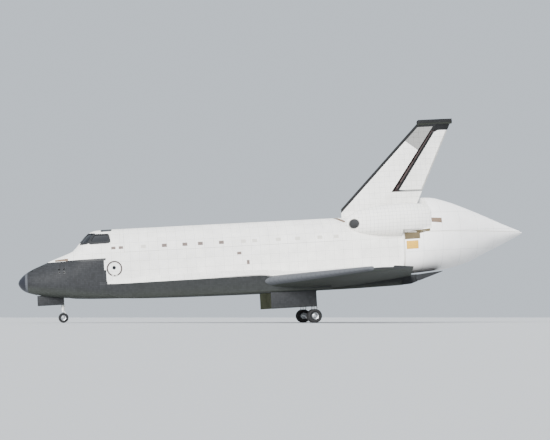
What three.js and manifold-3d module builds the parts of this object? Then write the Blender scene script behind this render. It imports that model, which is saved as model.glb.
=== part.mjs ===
// A space shuttle orbiter with its ferry tail cone, at 1:2, standing on its landing gear.
// x runs aft, y to starboard and z up. Lengths are in inches of the real craft, the unit of its
// own stations, and the last group turns them into millimetres of the model.
import * as THREE from "three";
import { mergeVertices } from "three/addons/utils/BufferGeometryUtils.js";
import Module from "manifold-3d";

const wasm = await Module();
wasm.setup();

// Driving dimensions
const MODEL_SCALE = 0.5;
const INCH = 25.4 * MODEL_SCALE; // millimetres of the model
const SEAM = 0.4 / INCH; // gap between pieces that are fixed to each other
const ROUND = 20; // sides of a wheel, a hatch or a cove
const RUN = 0.5; // clearance around moving pieces
const PIN_RADIUS = 1.2;
const PIN_PLAY = 0.03;
const PIN_SIDES = 12;
const ARC_STEPS = 10; // sides of a small round piece
const GROUND_PITCH = radians(3.3); // nose down on the gear

const NOSE_TIP = 238;
const CAP_END = 262;
const CABIN_FRONT = 430;
const CABIN_END = 582;
const BAY_END = 1303;
const AFT_START = 1307;
const BASE = 1486; // rear face of the aft fuselage, where the tail cone begins
const SKIN = 4; // wall of the cabin
const GLASS = 1;
const BULKHEAD = { x0: 573, x1: 577 };
const BAY_RADIUS = 92;
const BAY_AXIS_Z = 400;
const SILL_Z = 420;

// The hull's sections: station, half width, top, bottom, height of the widest point, and roundness
// above and below it, where 2 is an ellipse and more is squarer.
const HULL = [
  { x: 238, w: 1.5, top: 341, bottom: 338, wide: 339.5, above: 2, below: 2 },
  { x: 241, w: 10.5, top: 349, bottom: 330, wide: 339.5, above: 2, below: 2 },
  { x: 249, w: 21.5, top: 359, bottom: 319.5, wide: 339, above: 2, below: 2 },
  { x: 262, w: 34, top: 370, bottom: 310.5, wide: 338, above: 2, below: 2.1 },
  { x: 285, w: 49, top: 383, bottom: 302.5, wide: 336, above: 2, below: 2.3 },
  { x: 320, w: 63, top: 397, bottom: 294, wide: 334, above: 2, below: 2.6 },
  { x: 360, w: 74, top: 413, bottom: 288, wide: 336, above: 2, below: 3 },
  { x: 400, w: 83, top: 427, bottom: 284, wide: 341, above: 2, below: 3.5 },
  { x: 418, w: 91, top: 435, bottom: 281, wide: 347, above: 2, below: 4 },
  { x: 443, w: 95, top: 463, bottom: 279.5, wide: 358, above: 2, below: 5 },
  { x: 468, w: 98, top: 489, bottom: 278, wide: 368, above: 2, below: 6 },
  { x: 493, w: 100.5, top: 498, bottom: 277, wide: 378, above: 2, below: 7 },
  { x: 523, w: 103, top: 500, bottom: 276, wide: 387, above: 2, below: 9 },
  { x: 582, w: 105, top: 500, bottom: 274, wide: 392, above: 2, below: 12 },
  { x: 780, w: 105, top: 500, bottom: 268, wide: 392, above: 2, below: 14 },
  { x: 1307, w: 105, top: 500, bottom: 264, wide: 392, above: 2, below: 14 },
  { x: 1486, w: 105, top: 500, bottom: 266, wide: 396, above: 2.3, below: 12 },
];
const HULL_SIDES = 32;

// The tail cone's sections, with the same columns
const CONE = [
  { x: 1486, w: 113, top: 548, bottom: 299, wide: 420, above: 2.2, below: 3.2 },
  { x: 1515, w: 121, top: 551, bottom: 302, wide: 430, above: 2.2, below: 3 },
  { x: 1560, w: 143, top: 553, bottom: 305, wide: 440, above: 2.2, below: 2.8 },
  { x: 1600, w: 150, top: 552, bottom: 308, wide: 442, above: 2.2, below: 2.6 },
  { x: 1646, w: 146, top: 540, bottom: 312, wide: 438, above: 2.2, below: 2.5 },
  { x: 1711, w: 127, top: 515, bottom: 327, wide: 432, above: 2.1, below: 2.3 },
  { x: 1784, w: 96, top: 482, bottom: 358, wide: 425, above: 2, below: 2.1 },
  { x: 1838, w: 67, top: 456, bottom: 381, wide: 420, above: 2, below: 2 },
  { x: 1878, w: 41, top: 438, bottom: 399, wide: 418.5, above: 2, below: 2 },
  { x: 1903, w: 20, top: 427, bottom: 410, wide: 418.5, above: 2, below: 2 },
  { x: 1916, w: 3, top: 420, bottom: 417, wide: 418.5, above: 2, below: 2 },
];
const CONE_SHOULDER_X = 1577; // front wall of the cone's upper half, behind the engine pods
const CONE_SHOULDER_Z = 442;
const CONE_WALL = 3;

// Engine pod sections: station, centre across and up, and half sizes
const POD = [
  { x: 1306, y: 78, z: 478, w: 5, h: 6 },
  { x: 1316, y: 79, z: 479, w: 18, h: 20 },
  { x: 1340, y: 82, z: 479, w: 31, h: 34 },
  { x: 1380, y: 87, z: 479, w: 43, h: 44 },
  { x: 1430, y: 92, z: 480, w: 51, h: 50 },
  { x: 1500, y: 96, z: 479, w: 54, h: 53 },
  { x: 1545, y: 98, z: 478, w: 52, h: 51 },
  { x: 1576, y: 99, z: 476, w: 47, h: 46 },
];
const POD_INNER_Y = 36; // flat inner side of a pod, beside the fin

// Wing, in a frame that starts on the elevon hinge line and tilts up with the wing
const HINGE_X = 1387;
const HINGE_Z = 288.2;
const DIHEDRAL = radians(3.5);
const WING_ROOT = 105.1;
const WING_TIP = 468.3;
const WING_LEAD = 836; // leading edge of the basic wing where it would meet the centre line
const WING_TRAIL = 1525.2;
const TRAIL_SWEEP = 0.1773;
const THICKNESS = 0.115;
const TWIST = 0.0087;
const GLOVE_FRONT = { x: 500, y: 103 };
const GLOVE_END = { x: 1024, y: 188 };
const GLOVE_EDGE_Z = 320;
const RCC_START_Y = 183; // where the hot leading edge begins
const RCC_DEPTH = 14;
const ELEVONS = [
  { name: "inboard", from: 117.5, to: 312.5 },
  { name: "outboard", from: 313.5, to: 466.5 },
];

// Fin and rudder, with heights in the craft's own waterlines
const FIN_ROOT = { z: 500, lead: 1277.9, chord: 268.5 };
const FIN_FRONT = 1307; // the fin's foot starts behind the payload bay doors
const FIN_TIP = { z: 815.7, lead: 1593.6, chord: 108.5 };
const FIN_HINGE = 0.6; // share of the chord ahead of the hinge line
const FIN_HALF_THICKNESS = 0.0525; // share of the chord, at the hinge line
const RUDDER_BOTTOM = 578;
const RUDDER_TOP = 779;
const FIN_CAP = { x0: 1580, x1: 1700, radius: 9.6 }; // round housing along the fin's tip
const RUDDER_SHAFT = 3.2;
const RUDDER_WALL = 1.5;
const RUDDER_LIP = 1.05; // how far ahead of the hinge line the fin ends, in half thicknesses
const RUDDER_SEAL = { z0: 587, z1: 773, gap: 0.7 }; // conical seal on the shaft, inside the panels
const RUDDER_PADS = [0.12, 0.5, 0.88]; // bearings of the panels, as shares of the rudder's height

// The three main engines as one block, held in the aft fuselage's rear wall
const ENGINES = { x0: 1456, x1: 1556, halfWidth: 50, z0: 340, z1: 410 };

const FLAP_HINGE = { x: 1532, z: 287 };
const FLAP_RADIUS = 10;
const FLAP_CHORD = 81;
const FLAP_HALF_SPAN = 111;
const SHELF_HALF_SPAN = 103.9;
const FLAP_REST = radians(11.7); // trailing edge up

const MAIN_GEAR = {
  x: 1177, y: 136, axleZ: 182, tyre: 22.25, width: 16, hub: 11, spread: 20, axle: 3.2,
};
const NOSE_GEAR = {
  x: 377, tyre: 16, width: 8.8, hub: 8, spread: 11, axle: 2.2, piston: 2.6,
};
const NOSE_WELL = { x0: 296, x1: 383.5, y: 21, top: 331 };
const MAIN_WELL = { x0: 1036, x1: 1192, y0: 109, y1: 169, top: 304 };

// Materials
const MATERIALS = {
  white_tile: { color: 0xf2f0ea, roughness: 0.75, metalness: 0 },
  black_tile: { color: 0x4a4b4e, roughness: 0.8, metalness: 0 },
  carbon: { color: 0x2a2c33, roughness: 0.55, metalness: 0 },
  grey_carbon: { color: 0x8a8c8f, roughness: 0.55, metalness: 0 },
  white_paint: { color: 0xfaf8f4, roughness: 0.4, metalness: 0 },
  white_blanket: { color: 0xf4f2ec, roughness: 0.9, metalness: 0 },
  radiator: { color: 0xc9ccd0, roughness: 0.25, metalness: 0.8 },
  green_primer: { color: 0x9a9c6b, roughness: 0.6, metalness: 0 },
  cabin_grey: { color: 0x6f7376, roughness: 0.7, metalness: 0 },
  seat_fabric: { color: 0x2f3338, roughness: 0.9, metalness: 0 },
  glass: { color: 0x1a1e26, roughness: 0.08, metalness: 0 },
  steel: { color: 0x9da1a4, roughness: 0.35, metalness: 1 },
  white_metal: { color: 0xe6e6e2, roughness: 0.4, metalness: 0.2 },
  tyre_rubber: { color: 0x1c1c1c, roughness: 0.85, metalness: 0 },
};

function radians(degrees) {
  return (degrees * Math.PI) / 180;
}

// Solids from geometry, and back

function solidOf(geometry) {
  const bare = geometry.clone();
  bare.deleteAttribute("normal");
  bare.deleteAttribute("uv");
  const merged = mergeVertices(bare, 1e-4);
  const build = (index) =>
    new wasm.Manifold(
      new wasm.Mesh({
        numProp: 3,
        vertProperties: merged.attributes.position.array,
        triVerts: new Uint32Array(index),
      }),
    );
  const index = [...merged.index.array];
  const solid = build(index);
  return solid.volume() < 0 ? build(index.reverse()) : solid;
}

function geometryOf(solid) {
  const mesh = solid.getMesh();
  const geometry = new THREE.BufferGeometry();
  geometry.setAttribute("position", new THREE.BufferAttribute(mesh.vertProperties, 3));
  geometry.setIndex(new THREE.BufferAttribute(mesh.triVerts, 1));
  return geometry;
}

function moved(solid, matrix) {
  return solidOf(geometryOf(solid).applyMatrix4(matrix));
}

function mirrored(solid) {
  return moved(solid, new THREE.Matrix4().makeScale(1, -1, 1));
}

function largest(solid) {
  return solid.decompose().sort((a, b) => b.volume() - a.volume())[0];
}

// Basic shapes

function box(x0, x1, y0, y1, z0, z1) {
  const geometry = new THREE.BoxGeometry(x1 - x0, y1 - y0, z1 - z0);
  geometry.translate((x0 + x1) / 2, (y0 + y1) / 2, (z0 + z1) / 2);
  return solidOf(geometry);
}

// A round bar or cone between two points
function rod(from, to, radius, endRadius = radius, sides = ARC_STEPS) {
  const start = new THREE.Vector3(...from);
  const along = new THREE.Vector3(...to).sub(start);
  const geometry = new THREE.CylinderGeometry(endRadius, radius, along.length(), sides);
  geometry.translate(0, along.length() / 2, 0);
  const axis = along.clone().normalize();
  const across = new THREE.Vector3(0, 1, 0).cross(axis);
  const side = across.length() > 1e-6 ? across.normalize() : new THREE.Vector3(1, 0, 0);
  geometry.applyMatrix4(new THREE.Matrix4().makeBasis(side, axis, side.clone().cross(axis)));
  geometry.translate(start.x, start.y, start.z);
  return solidOf(geometry);
}

// A pin or axle, and the bore that lets it turn: the bore's flats clear the pin's corners
function pin(from, to, radius, sides = PIN_SIDES) {
  return rod(from, to, radius, radius, sides);
}

function bore(from, to, radius, sides = PIN_SIDES) {
  const size = (radius + PIN_PLAY) / Math.cos(Math.PI / sides);
  return rod(from, to, size, size, sides);
}

// A plate whose outline is drawn in x and z, reaching from y0 to y1
function plate(outline, y0, y1) {
  const shape = new THREE.Shape(outline.map(([x, z]) => new THREE.Vector2(x, z)));
  const geometry = new THREE.ExtrudeGeometry(shape, { depth: y1 - y0, bevelEnabled: false });
  geometry.rotateX(Math.PI / 2);
  geometry.translate(0, y1, 0);
  return solidOf(geometry);
}

// A skin over rings of equally many points, closed by flat ends. Each four-sided patch is parted
// along its shorter diagonal, so that the two sides of a body mirror each other.
function loft(rings) {
  const sides = rings[0].length;
  const points = rings.flat();
  const faces = [];
  for (let r = 0; r + 1 < rings.length; r += 1) {
    for (let i = 0; i < sides; i += 1) {
      const a = r * sides + i;
      const b = r * sides + ((i + 1) % sides);
      const [c, d] = [b + sides, a + sides];
      const straight = points[a].distanceTo(points[c]) <= points[b].distanceTo(points[d]);
      faces.push(...(straight ? [a, b, c, a, c, d] : [a, b, d, b, c, d]));
    }
  }
  const last = (rings.length - 1) * sides;
  for (let i = 1; i + 1 < sides; i += 1) {
    faces.push(0, i + 1, i, last, last + i, last + i + 1);
  }
  const geometry = new THREE.BufferGeometry();
  const flat = points.flatMap((p) => [p.x, p.y, p.z]);
  geometry.setAttribute("position", new THREE.Float32BufferAttribute(flat, 3));
  geometry.setIndex(faces);
  return solidOf(geometry);
}

// The part of a table of sections between two stations, with the ends worked in
function sectionsBetween(table, x0, x1) {
  const at = (x) => {
    const found = table.findIndex((row) => row.x >= x);
    const next = found < 0 ? table.length - 1 : Math.max(1, found);
    const [a, b] = [table[next - 1], table[next]];
    const share = (x - a.x) / (b.x - a.x);
    const entries = Object.keys(a).map((key) => [key, a[key] + share * (b[key] - a[key])]);
    return Object.fromEntries(entries);
  };
  const inside = table.filter((row) => row.x > x0 + 0.5 && row.x < x1 - 0.5);
  return [at(x0), ...inside, at(x1)];
}

// One section of the hull or the tail cone, drawn in by a wall's thickness
function bodyRing(row, wall) {
  const ring = [];
  for (let i = 0; i < HULL_SIDES; i += 1) {
    const turn = (i * 2 * Math.PI) / HULL_SIDES;
    const [c, s] = [Math.cos(turn), Math.sin(turn)];
    const power = 2 / (s >= 0 ? row.above : row.below);
    const reach = s >= 0 ? row.top - wall - row.wide : row.wide - row.bottom - wall;
    const y = Math.sign(c) * Math.abs(c) ** power * (row.w - wall);
    const z = row.wide + Math.sign(s) * Math.abs(s) ** power * reach;
    ring.push(new THREE.Vector3(row.x, y, z));
  }
  return ring;
}

function hull(x0, x1, wall = 0) {
  return loft(sectionsBetween(HULL, x0, x1).map((row) => bodyRing(row, wall)));
}

function cone(x0, x1, wall = 0) {
  return loft(sectionsBetween(CONE, x0, x1).map((row) => bodyRing(row, wall)));
}

// Hinges: a lug on the parent with a pin, and a notch and a bore in the child.
// In the hinge's own frame y is the axis and the lug reaches towards -x.

function turned([x, z], angle) {
  const [c, s] = [Math.cos(angle), Math.sin(angle)];
  return [x * c + z * s, z * c - x * s];
}

function arc(radius, from, to, steps) {
  const points = [];
  for (let i = 0; i <= steps; i += 1) {
    const angle = from + ((to - from) * i) / steps;
    points.push([radius * Math.cos(angle), radius * Math.sin(angle)]);
  }
  return points;
}

// The space that a lug sweeps in the child, for turns between low and high
function sweptNotch(length, half, low, high) {
  const upper = [[0, half], [-length, half]].map((p) => turned(p, -low));
  const lower = [[-length, -half], [0, -half]].map((p) => turned(p, -high));
  const reach = Math.hypot(length, half);
  const angleOf = ([x, z]) => (Math.atan2(z, x) + 2 * Math.PI) % (2 * Math.PI);
  const front = arc(reach * 1.03, angleOf(upper[1]), angleOf(lower[0]), 4);
  const back = arc(half * 1.04, angleOf(lower[1]) - 2 * Math.PI, angleOf(upper[0]), 6);
  return [...front, ...back];
}

function hingePair(parent, child, frame, places, lug) {
  const { length, half, width, low, high } = lug;
  for (const y of places) {
    const [y0, y1] = [y - width / 2, y + width / 2];
    const outline = [[-length, -half], ...arc(half, -Math.PI / 2, Math.PI / 2, 6), [-length, half]];
    const reach = width / 2 + 2 * PIN_RADIUS + 1;
    const spindle = pin([0, y - reach, 0], [0, y + reach, 0], PIN_RADIUS);
    const hole = bore([0, y - reach - RUN, 0], [0, y + reach + RUN, 0], PIN_RADIUS);
    const notch = plate(sweptNotch(length + RUN, half + RUN, low, high), y0 - RUN, y1 + RUN);
    parent = parent.add(moved(plate(outline, y0, y1).add(spindle), frame));
    child = child.subtract(moved(notch.add(hole), frame));
  }
  return [parent, child];
}

// Assembly

const craft = new THREE.Group();
craft.name = "craft";

function materialNamed(name) {
  return new THREE.MeshStandardMaterial({ name, ...MATERIALS[name] });
}

function piece(name, solid, material, parent = craft) {
  const mesh = new THREE.Mesh(geometryOf(solid), materialNamed(material));
  mesh.name = name;
  parent.add(mesh);
  return mesh;
}

// Windows: openings seen from a point in the cabin, by bearing from the nose and by rise

const EYE = new THREE.Vector3(526, 0, 462);
const WINDOW_REACH = 150;
const WINDSHIELD = [
  { from: 1.5, to: 20, low: 2, high: 23 },
  { from: 24, to: 48, low: -2, high: 23 },
  { from: 54, to: 96, low: -3, high: 20 },
];

function sightLine(bearing, rise) {
  const across = Math.sin(radians(bearing));
  const ahead = -Math.cos(radians(bearing));
  return new THREE.Vector3(ahead, across, Math.tan(radians(rise)));
}

function windowCutter({ from, to, low, high }, near = 20) {
  const corners = [[from, low], [to, low], [to, high], [from, high]];
  const ring = (reach) =>
    corners.map(([b, r]) => sightLine(b, r).multiplyScalar(reach).add(EYE));
  return loft([ring(near), ring(WINDOW_REACH)]);
}

// Forward fuselage and its cabin

function forwardFuselage() {
  let body = hull(CAP_END + SEAM, CABIN_END);
  body = body.subtract(hull(CABIN_FRONT, CABIN_END, SKIN));
  const { x0, x1, y, top } = NOSE_WELL;
  body = body.subtract(box(x0, x1, -y, y, 250, top));
  for (const pane of WINDSHIELD) {
    const cutter = windowCutter(pane);
    body = body.subtract(cutter).subtract(mirrored(cutter));
  }
  for (const side of [-1, 1]) {
    body = body.subtract(box(515, 541, side * 22 - 11, side * 22 + 11, 470, 520));
  }
  return body.add(rod([396, 0, 290], [396, 0, 281.5], 6));
}

function insideCabin(wall, x0, x1) {
  return hull(CABIN_FRONT, CABIN_END, wall).intersect(box(x0, x1, -120, 120, 250, 520));
}

function glassShell() {
  const outer = insideCabin(SKIN + SEAM, CABIN_FRONT + 1, BULKHEAD.x0 - 1);
  return outer.subtract(hull(CABIN_FRONT, CABIN_END, SKIN + SEAM + GLASS));
}

// One band of glass behind all the openings of the windshield
function windshieldGlass() {
  const lap = 4; // degrees of glass beyond each opening
  const bands = WINDSHIELD.map(({ from, to, low, high }) =>
    windowCutter({ from: from - lap, to: to + lap, low: low - lap, high: high + lap }));
  const side = bands.reduce((sum, band) => sum.add(band));
  return largest(glassShell().intersect(side.add(mirrored(side))));
}

function overheadGlass() {
  return largest(glassShell().intersect(box(511, 545, -37, 37, 470, 520)));
}

function cabinBulkhead() {
  let wall = insideCabin(SKIN + SEAM, BULKHEAD.x0, BULKHEAD.x1);
  for (const side of [-1, 1]) {
    wall = wall.subtract(box(570, 580, side * 20 - 9, side * 20 + 9, 455, 477));
  }
  return wall;
}

function flightDeck() {
  const inside = insideCabin(SKIN + SEAM, CABIN_FRONT + 0.5, BULKHEAD.x0 - SEAM);
  const floor = box(433, 573, -110, 110, 414, 417);
  const panel = plate([[440, 416], [458, 416], [452, 443], [445, 443]], -44, 44);
  const console = box(468, 508, -7, 7, 416, 432);
  return inside.intersect(floor.add(panel)).add(console);
}

function seat() {
  const profile = [
    [-9, 0], [11, 0], [11, 3], [12, 14], [19, 42], [14, 43], [7, 17], [-9, 19], [-9, 12], [-3, 9],
  ];
  return plate(profile, -9, 9);
}

// Side hatch, hinged below on the port side

const HATCH = { x: 548, z: 369, radius: 19.6, hingeY: -104.65, hingeZ: 347.6 };

function hatchParts(body) {
  const { x, z, radius, hingeY, hingeZ } = HATCH;
  const disc = rod([x, -120, z], [x, -80, z], radius, radius, ROUND);
  const hole = rod([x, -120, z], [x, -80, z], radius + RUN, radius + RUN, ROUND);
  let hatch = hull(x - 40, x + 40).subtract(hull(x - 41, x + 41, SKIN)).intersect(disc);
  let rest = body.subtract(hole);
  const knuckle = (from, to, size) => rod([from, hingeY, hingeZ], [to, hingeY, hingeZ], size);
  const pinRadius = 0.6;
  const web = (x0, x1, z1) => box(x0, x1, hingeY, hingeY + 5, hingeZ - 1.6, z1);
  rest = rest.subtract(box(x - 9.5, x + 9.5, hingeY - 4, hingeY + 5.6, hingeZ - 2.1, z - radius + 3.5));
  rest = rest.add(box(x - 2, x + 2, hingeY, hingeY + 4.6, hingeZ - 7, hingeZ + 0.6));
  rest = rest.add(knuckle(x - 2, x + 2, 1.6));
  for (const side of [-1, 1]) {
    const [a, b] = [x + side * 2.5, x + side * 9].sort((p, q) => p - q);
    hatch = hatch.add(knuckle(a, b, 1.6)).add(web(a, b, z - radius + 3).subtract(
      box(a - 1, b + 1, hingeY, hingeY + 6, hingeZ - 3, hingeZ)));
    rest = rest.subtract(knuckle(a - 0.5, b + 0.5, 2.1));
  }
  hatch = hatch.subtract(bore([x - 9.5, hingeY, hingeZ], [x + 9.5, hingeY, hingeZ], pinRadius));
  hatch = hatch.subtract(box(x - 2.5, x + 2.5, hingeY - 4, hingeY + 8, hingeZ - 4, hingeZ + 2.3));
  rest = rest.add(pin([x - 8.5, hingeY, hingeZ], [x + 8.5, hingeY, hingeZ], pinRadius));
  return [rest, hatch];
}

// Payload bay and its doors

const DOOR = { x0: CABIN_END + RUN, x1: BAY_END - RUN, wall: 5, split: 0.25 };
const RADIATOR = 2.5;
const DOOR_HINGE = { y: 101.4, z: SILL_Z, radius: 2, pinRadius: 0.8 };
const DOOR_HINGE_STATIONS = [665, 942, 1220];

function midFuselage() {
  const inner = rod([CABIN_END - 1, 0, BAY_AXIS_Z], [BAY_END, 0, BAY_AXIS_Z], BAY_RADIUS, BAY_RADIUS, 40);
  const above = box(CABIN_END - 1, BAY_END, -BAY_RADIUS, BAY_RADIUS, BAY_AXIS_Z, 520);
  const doorway = box(CABIN_END - 1, BAY_END, -120, 120, SILL_Z, 520);
  return hull(CABIN_END + SEAM, AFT_START).subtract(inner).subtract(above).subtract(doorway);
}

function bayDoor() {
  const { x0, x1, wall, split } = DOOR;
  const shell = hull(x0, x1).subtract(hull(x0, x1, wall));
  return shell.intersect(box(x0 - 1, x1 + 1, split, 120, SILL_Z + RUN, 520));
}

function radiator() {
  const { wall } = DOOR;
  const { x0, x1 } = DOOR;
  const panel = hull(x0, x1, wall + SEAM).subtract(hull(x0, x1, wall + RADIATOR));
  return panel.intersect(box(600, 1290, 8, 88, 440, 520));
}

function doorHinges(body, door) {
  const { y, z, radius, pinRadius } = DOOR_HINGE;
  const knuckle = (from, to, size) => rod([from, y, z], [to, y, z], size);
  for (const x of DOOR_HINGE_STATIONS) {
    door = door.subtract(knuckle(x - 3 - RUN, x + 3 + RUN, radius + RUN));
    for (const side of [-1, 1]) {
      const [a, b] = [x + side * (3 + RUN), x + side * 10].sort((p, q) => p - q);
      body = body.subtract(knuckle(a - RUN, b + RUN, radius + RUN));
      door = door.add(knuckle(a, b, radius));
    }
    body = body.add(knuckle(x - 3, x + 3, radius));
    body = body.add(pin([x - 9, y, z], [x + 9, y, z], pinRadius));
    door = door.subtract(bore([x - 11, y, z], [x + 11, y, z], pinRadius));
  }
  return [body, door];
}

// Aft fuselage with the shelf that carries the body flap

function flapFrame() {
  return new THREE.Matrix4().makeTranslation(FLAP_HINGE.x, 0, FLAP_HINGE.z);
}

function aftFuselage() {
  let body = hull(AFT_START + SEAM, BASE - SEAM).subtract(hull(AFT_START + 5, BASE - 4, 5));
  const { halfWidth, z0, z1 } = ENGINES;
  body = body.subtract(box(BASE - 20, BASE + 1, -halfWidth - SEAM, halfWidth + SEAM, z0 - SEAM, z1 + SEAM));
  const bottom = HULL.at(-1).bottom;
  const shelf = plate(
    [[BASE - 8, bottom], [BASE + 20, bottom + 2], [FLAP_HINGE.x - 4, bottom + 9],
      [FLAP_HINGE.x - 4, 298], [BASE - 8, 298]],
    -SHELF_HALF_SPAN, SHELF_HALF_SPAN);
  body = body.add(shelf);
  body = body.add(box(BASE - 6, CONE_SHOULDER_X - SEAM, -POD_INNER_Y + SEAM, POD_INNER_Y - SEAM, 446, 499.6));
  body = body.subtract(box(BASE - 1, CONE_SHOULDER_X - 4, -POD_INNER_Y + 3, POD_INNER_Y - 3, 440, 494));
  const { x, z } = FLAP_HINGE;
  const span = FLAP_HALF_SPAN + 1;
  body = body.subtract(rod([x, -span, z], [x, span, z], FLAP_RADIUS + RUN, FLAP_RADIUS + RUN, ROUND));
  for (const side of [-1, 1]) {
    const y = side * 96.5;
    body = body.add(rod([1320, y, 270], [1320, y, 262], 8));
  }
  return body;
}

function bodyFlap() {
  const nose = arc(FLAP_RADIUS, Math.PI / 2, (3 * Math.PI) / 2, 10);
  const outline = [...nose, [FLAP_CHORD, -1], [FLAP_CHORD, 1]];
  const lifted = outline.map((p) => turned(p, -FLAP_REST));
  return moved(plate(lifted, -FLAP_HALF_SPAN, FLAP_HALF_SPAN), flapFrame());
}

// Engine pods, seated on the aft fuselage's shoulders beside the fin

function enginePod() {
  const rings = sectionsBetween(POD, POD[0].x, POD.at(-1).x).map(({ x, y, z, w, h }) => {
    const ring = [];
    for (let i = 0; i < 24; i += 1) {
      const turn = (i * 2 * Math.PI) / 24;
      const [c, s] = [Math.cos(turn), Math.sin(turn)];
      const across = Math.sign(c) * Math.abs(c) ** (2 / 2.3) * w;
      const up = Math.sign(s) * Math.abs(s) ** (2 / 2.3) * h;
      ring.push(new THREE.Vector3(x, y + across, z + up));
    }
    return ring;
  });
  const seatCut = hull(AFT_START - 20, BASE, -SEAM).add(box(1280, 1600, -60, POD_INNER_Y, 400, 560));
  const below = box(BASE - 2, 1600, 0, 200, 400, CONE_SHOULDER_Z + CONE_WALL + SEAM);
  return largest(loft(rings).subtract(seatCut).subtract(below));
}

// Wing

function wingFrame() {
  return new THREE.Matrix4().makeRotationX(DIHEDRAL).setPosition(HINGE_X, 0, HINGE_Z);
}

function leadAt(y) {
  return WING_LEAD + y;
}

function trailAt(y) {
  return WING_TRAIL - TRAIL_SWEEP * y;
}

// Half thickness of the four-digit wing section at a share of the chord
function sectionHalf(share) {
  const root = Math.sqrt(share);
  const curve = -0.126 * share - 0.3516 * share ** 2 + 0.2843 * share ** 3 - 0.1036 * share ** 4;
  return 5 * THICKNESS * (0.2969 * root + curve);
}

const CHORD_SHARES = [0, 0.01, 0.04, 0.12, 0.3, 0.55, 0.78, 1];

function wingRing(y) {
  const [lead, chord] = [leadAt(y), trailAt(y) - leadAt(y)];
  const point = (share, side) => {
    const x = lead + share * chord - HINGE_X;
    return new THREE.Vector3(x, y, side * sectionHalf(share) * chord - x * TWIST);
  };
  const upper = CHORD_SHARES.map((share) => point(share, 1));
  const lower = CHORD_SHARES.slice(1).map((share) => point(share, -1));
  return [...upper, ...lower.reverse()];
}

// The glove: flat below, with a round edge that runs from the cabin's side to the wing
function glove() {
  const { x: x0, y: y0 } = GLOVE_FRONT;
  const { x: x1, y: y1 } = GLOVE_END;
  const rows = [
    { x: x0, y: y0, belly: 300, roof: 335 },
    { x: 560, y: y0 + (60 * (y1 - y0)) / (x1 - x0), belly: 277, roof: 342 },
    { x: 700, y: y0 + (200 * (y1 - y0)) / (x1 - x0), belly: 270.5, roof: 345 },
    { x: 850, y: y0 + (350 * (y1 - y0)) / (x1 - x0), belly: 267.5, roof: 345 },
    { x: x1 - 24, y: y1 - 4, belly: 265.5, roof: 342 },
    { x: 1120, y: y1 + 8, belly: 265, roof: 334 },
    { x: 1230, y: y1 + 12, belly: 265, roof: 326 },
  ];
  const rings = rows.map(({ x, y, belly, roof }) => {
    const root = WING_ROOT - 6;
    const edge = x > x1 ? 302 : GLOVE_EDGE_Z;
    const depth = Math.min(14, (y - root) * 0.5);
    return [
      [root, belly], [y - depth * 1.6, belly], [y - depth * 0.6, belly + (edge - belly) * 0.35],
      [y, edge - 4], [y, edge + 1], [y - depth * 0.5, edge + 5], [root, roof],
    ].map(([across, up]) => new THREE.Vector3(x, across, up));
  });
  return loft(rings);
}

function noseRadiusAt(y) {
  const chord = trailAt(y) - leadAt(y);
  return sectionHalf((HINGE_X - leadAt(y)) / chord) * chord;
}

function elevonBlank({ from, to }) {
  const ring = (y) => {
    const round = arc(noseRadiusAt(y), Math.PI / 2, (3 * Math.PI) / 2, 8);
    const end = trailAt(y) - HINGE_X;
    const outline = [...round, [end, -end * TWIST - 0.6], [end, -end * TWIST + 0.6]];
    return outline.map(([x, z]) => new THREE.Vector3(x, y, z));
  };
  return moved(loft([ring(from), ring(to)]), wingFrame());
}

const ELEVON_RANGE = { low: radians(-35), high: radians(20) };

function wingParts() {
  const frame = wingFrame();
  const stations = [WING_ROOT - 6, 190, 300, 400, WING_TIP - 3];
  const tip = wingRing(WING_TIP).map((p) => new THREE.Vector3(p.x * 0.985, p.y, p.z * 0.5));
  let wing = moved(loft([...stations.map(wingRing), tip]), frame).add(glove());
  wing = wing.subtract(box(400, 1700, 0, WING_ROOT - 8, 100, 500));
  wing = wing.subtract(hull(CAP_END + SEAM, BASE + 30, -SEAM));
  const inner = ELEVONS[0].from - 1;
  const outer = WING_TIP + 10;
  const bayRadius = (y) => noseRadiusAt(y) + RUN;
  const cove = rod([0, inner, 0], [0, outer, 0], bayRadius(inner), bayRadius(outer), ROUND);
  const behind = box(-3.5, 300, inner, outer, -60, 60);
  wing = wing.subtract(moved(cove.add(behind), frame));
  const { x0, x1, y0, y1, top } = MAIN_WELL;
  wing = wing.subtract(box(x0, x1, y0, y1, 200, top));
  const elevons = ELEVONS.map((row) => {
    const span = row.to - row.from;
    const places = [row.from + 0.2 * span, row.from + 0.8 * span];
    let blank = elevonBlank(row);
    for (const y of places) {
      const lug = { length: noseRadiusAt(y) + 5, half: 2.6, width: 3, ...ELEVON_RANGE };
      [wing, blank] = hingePair(wing, blank, frame, [y], lug);
    }
    return { name: row.name, solid: blank };
  });
  return { wing: largest(wing), elevons };
}

// The hot leading edge is the wing ahead of a line behind its edge
function leadingEdgeCutter(depth) {
  const shift = depth * Math.SQRT2;
  const y0 = RCC_START_Y;
  const outline = [
    [leadAt(y0) - 90, y0], [leadAt(y0) + shift, y0], [leadAt(WING_TIP) + shift, WING_TIP + 2],
    [leadAt(WING_TIP) - 90, WING_TIP + 2],
  ];
  const shape = new THREE.Shape(outline.map(([x, y]) => new THREE.Vector2(x, y)));
  const geometry = new THREE.ExtrudeGeometry(shape, { depth: 200, bevelEnabled: false });
  geometry.translate(0, 0, 220);
  return solidOf(geometry);
}

// Fin, rudder shaft and the two rudder panels

function finAt(z) {
  const share = (z - FIN_ROOT.z) / (FIN_TIP.z - FIN_ROOT.z);
  const lead = FIN_ROOT.lead + share * (FIN_TIP.lead - FIN_ROOT.lead);
  const chord = FIN_ROOT.chord + share * (FIN_TIP.chord - FIN_ROOT.chord);
  return { lead, chord, hinge: lead + FIN_HINGE * chord, half: FIN_HALF_THICKNESS * chord };
}

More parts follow.
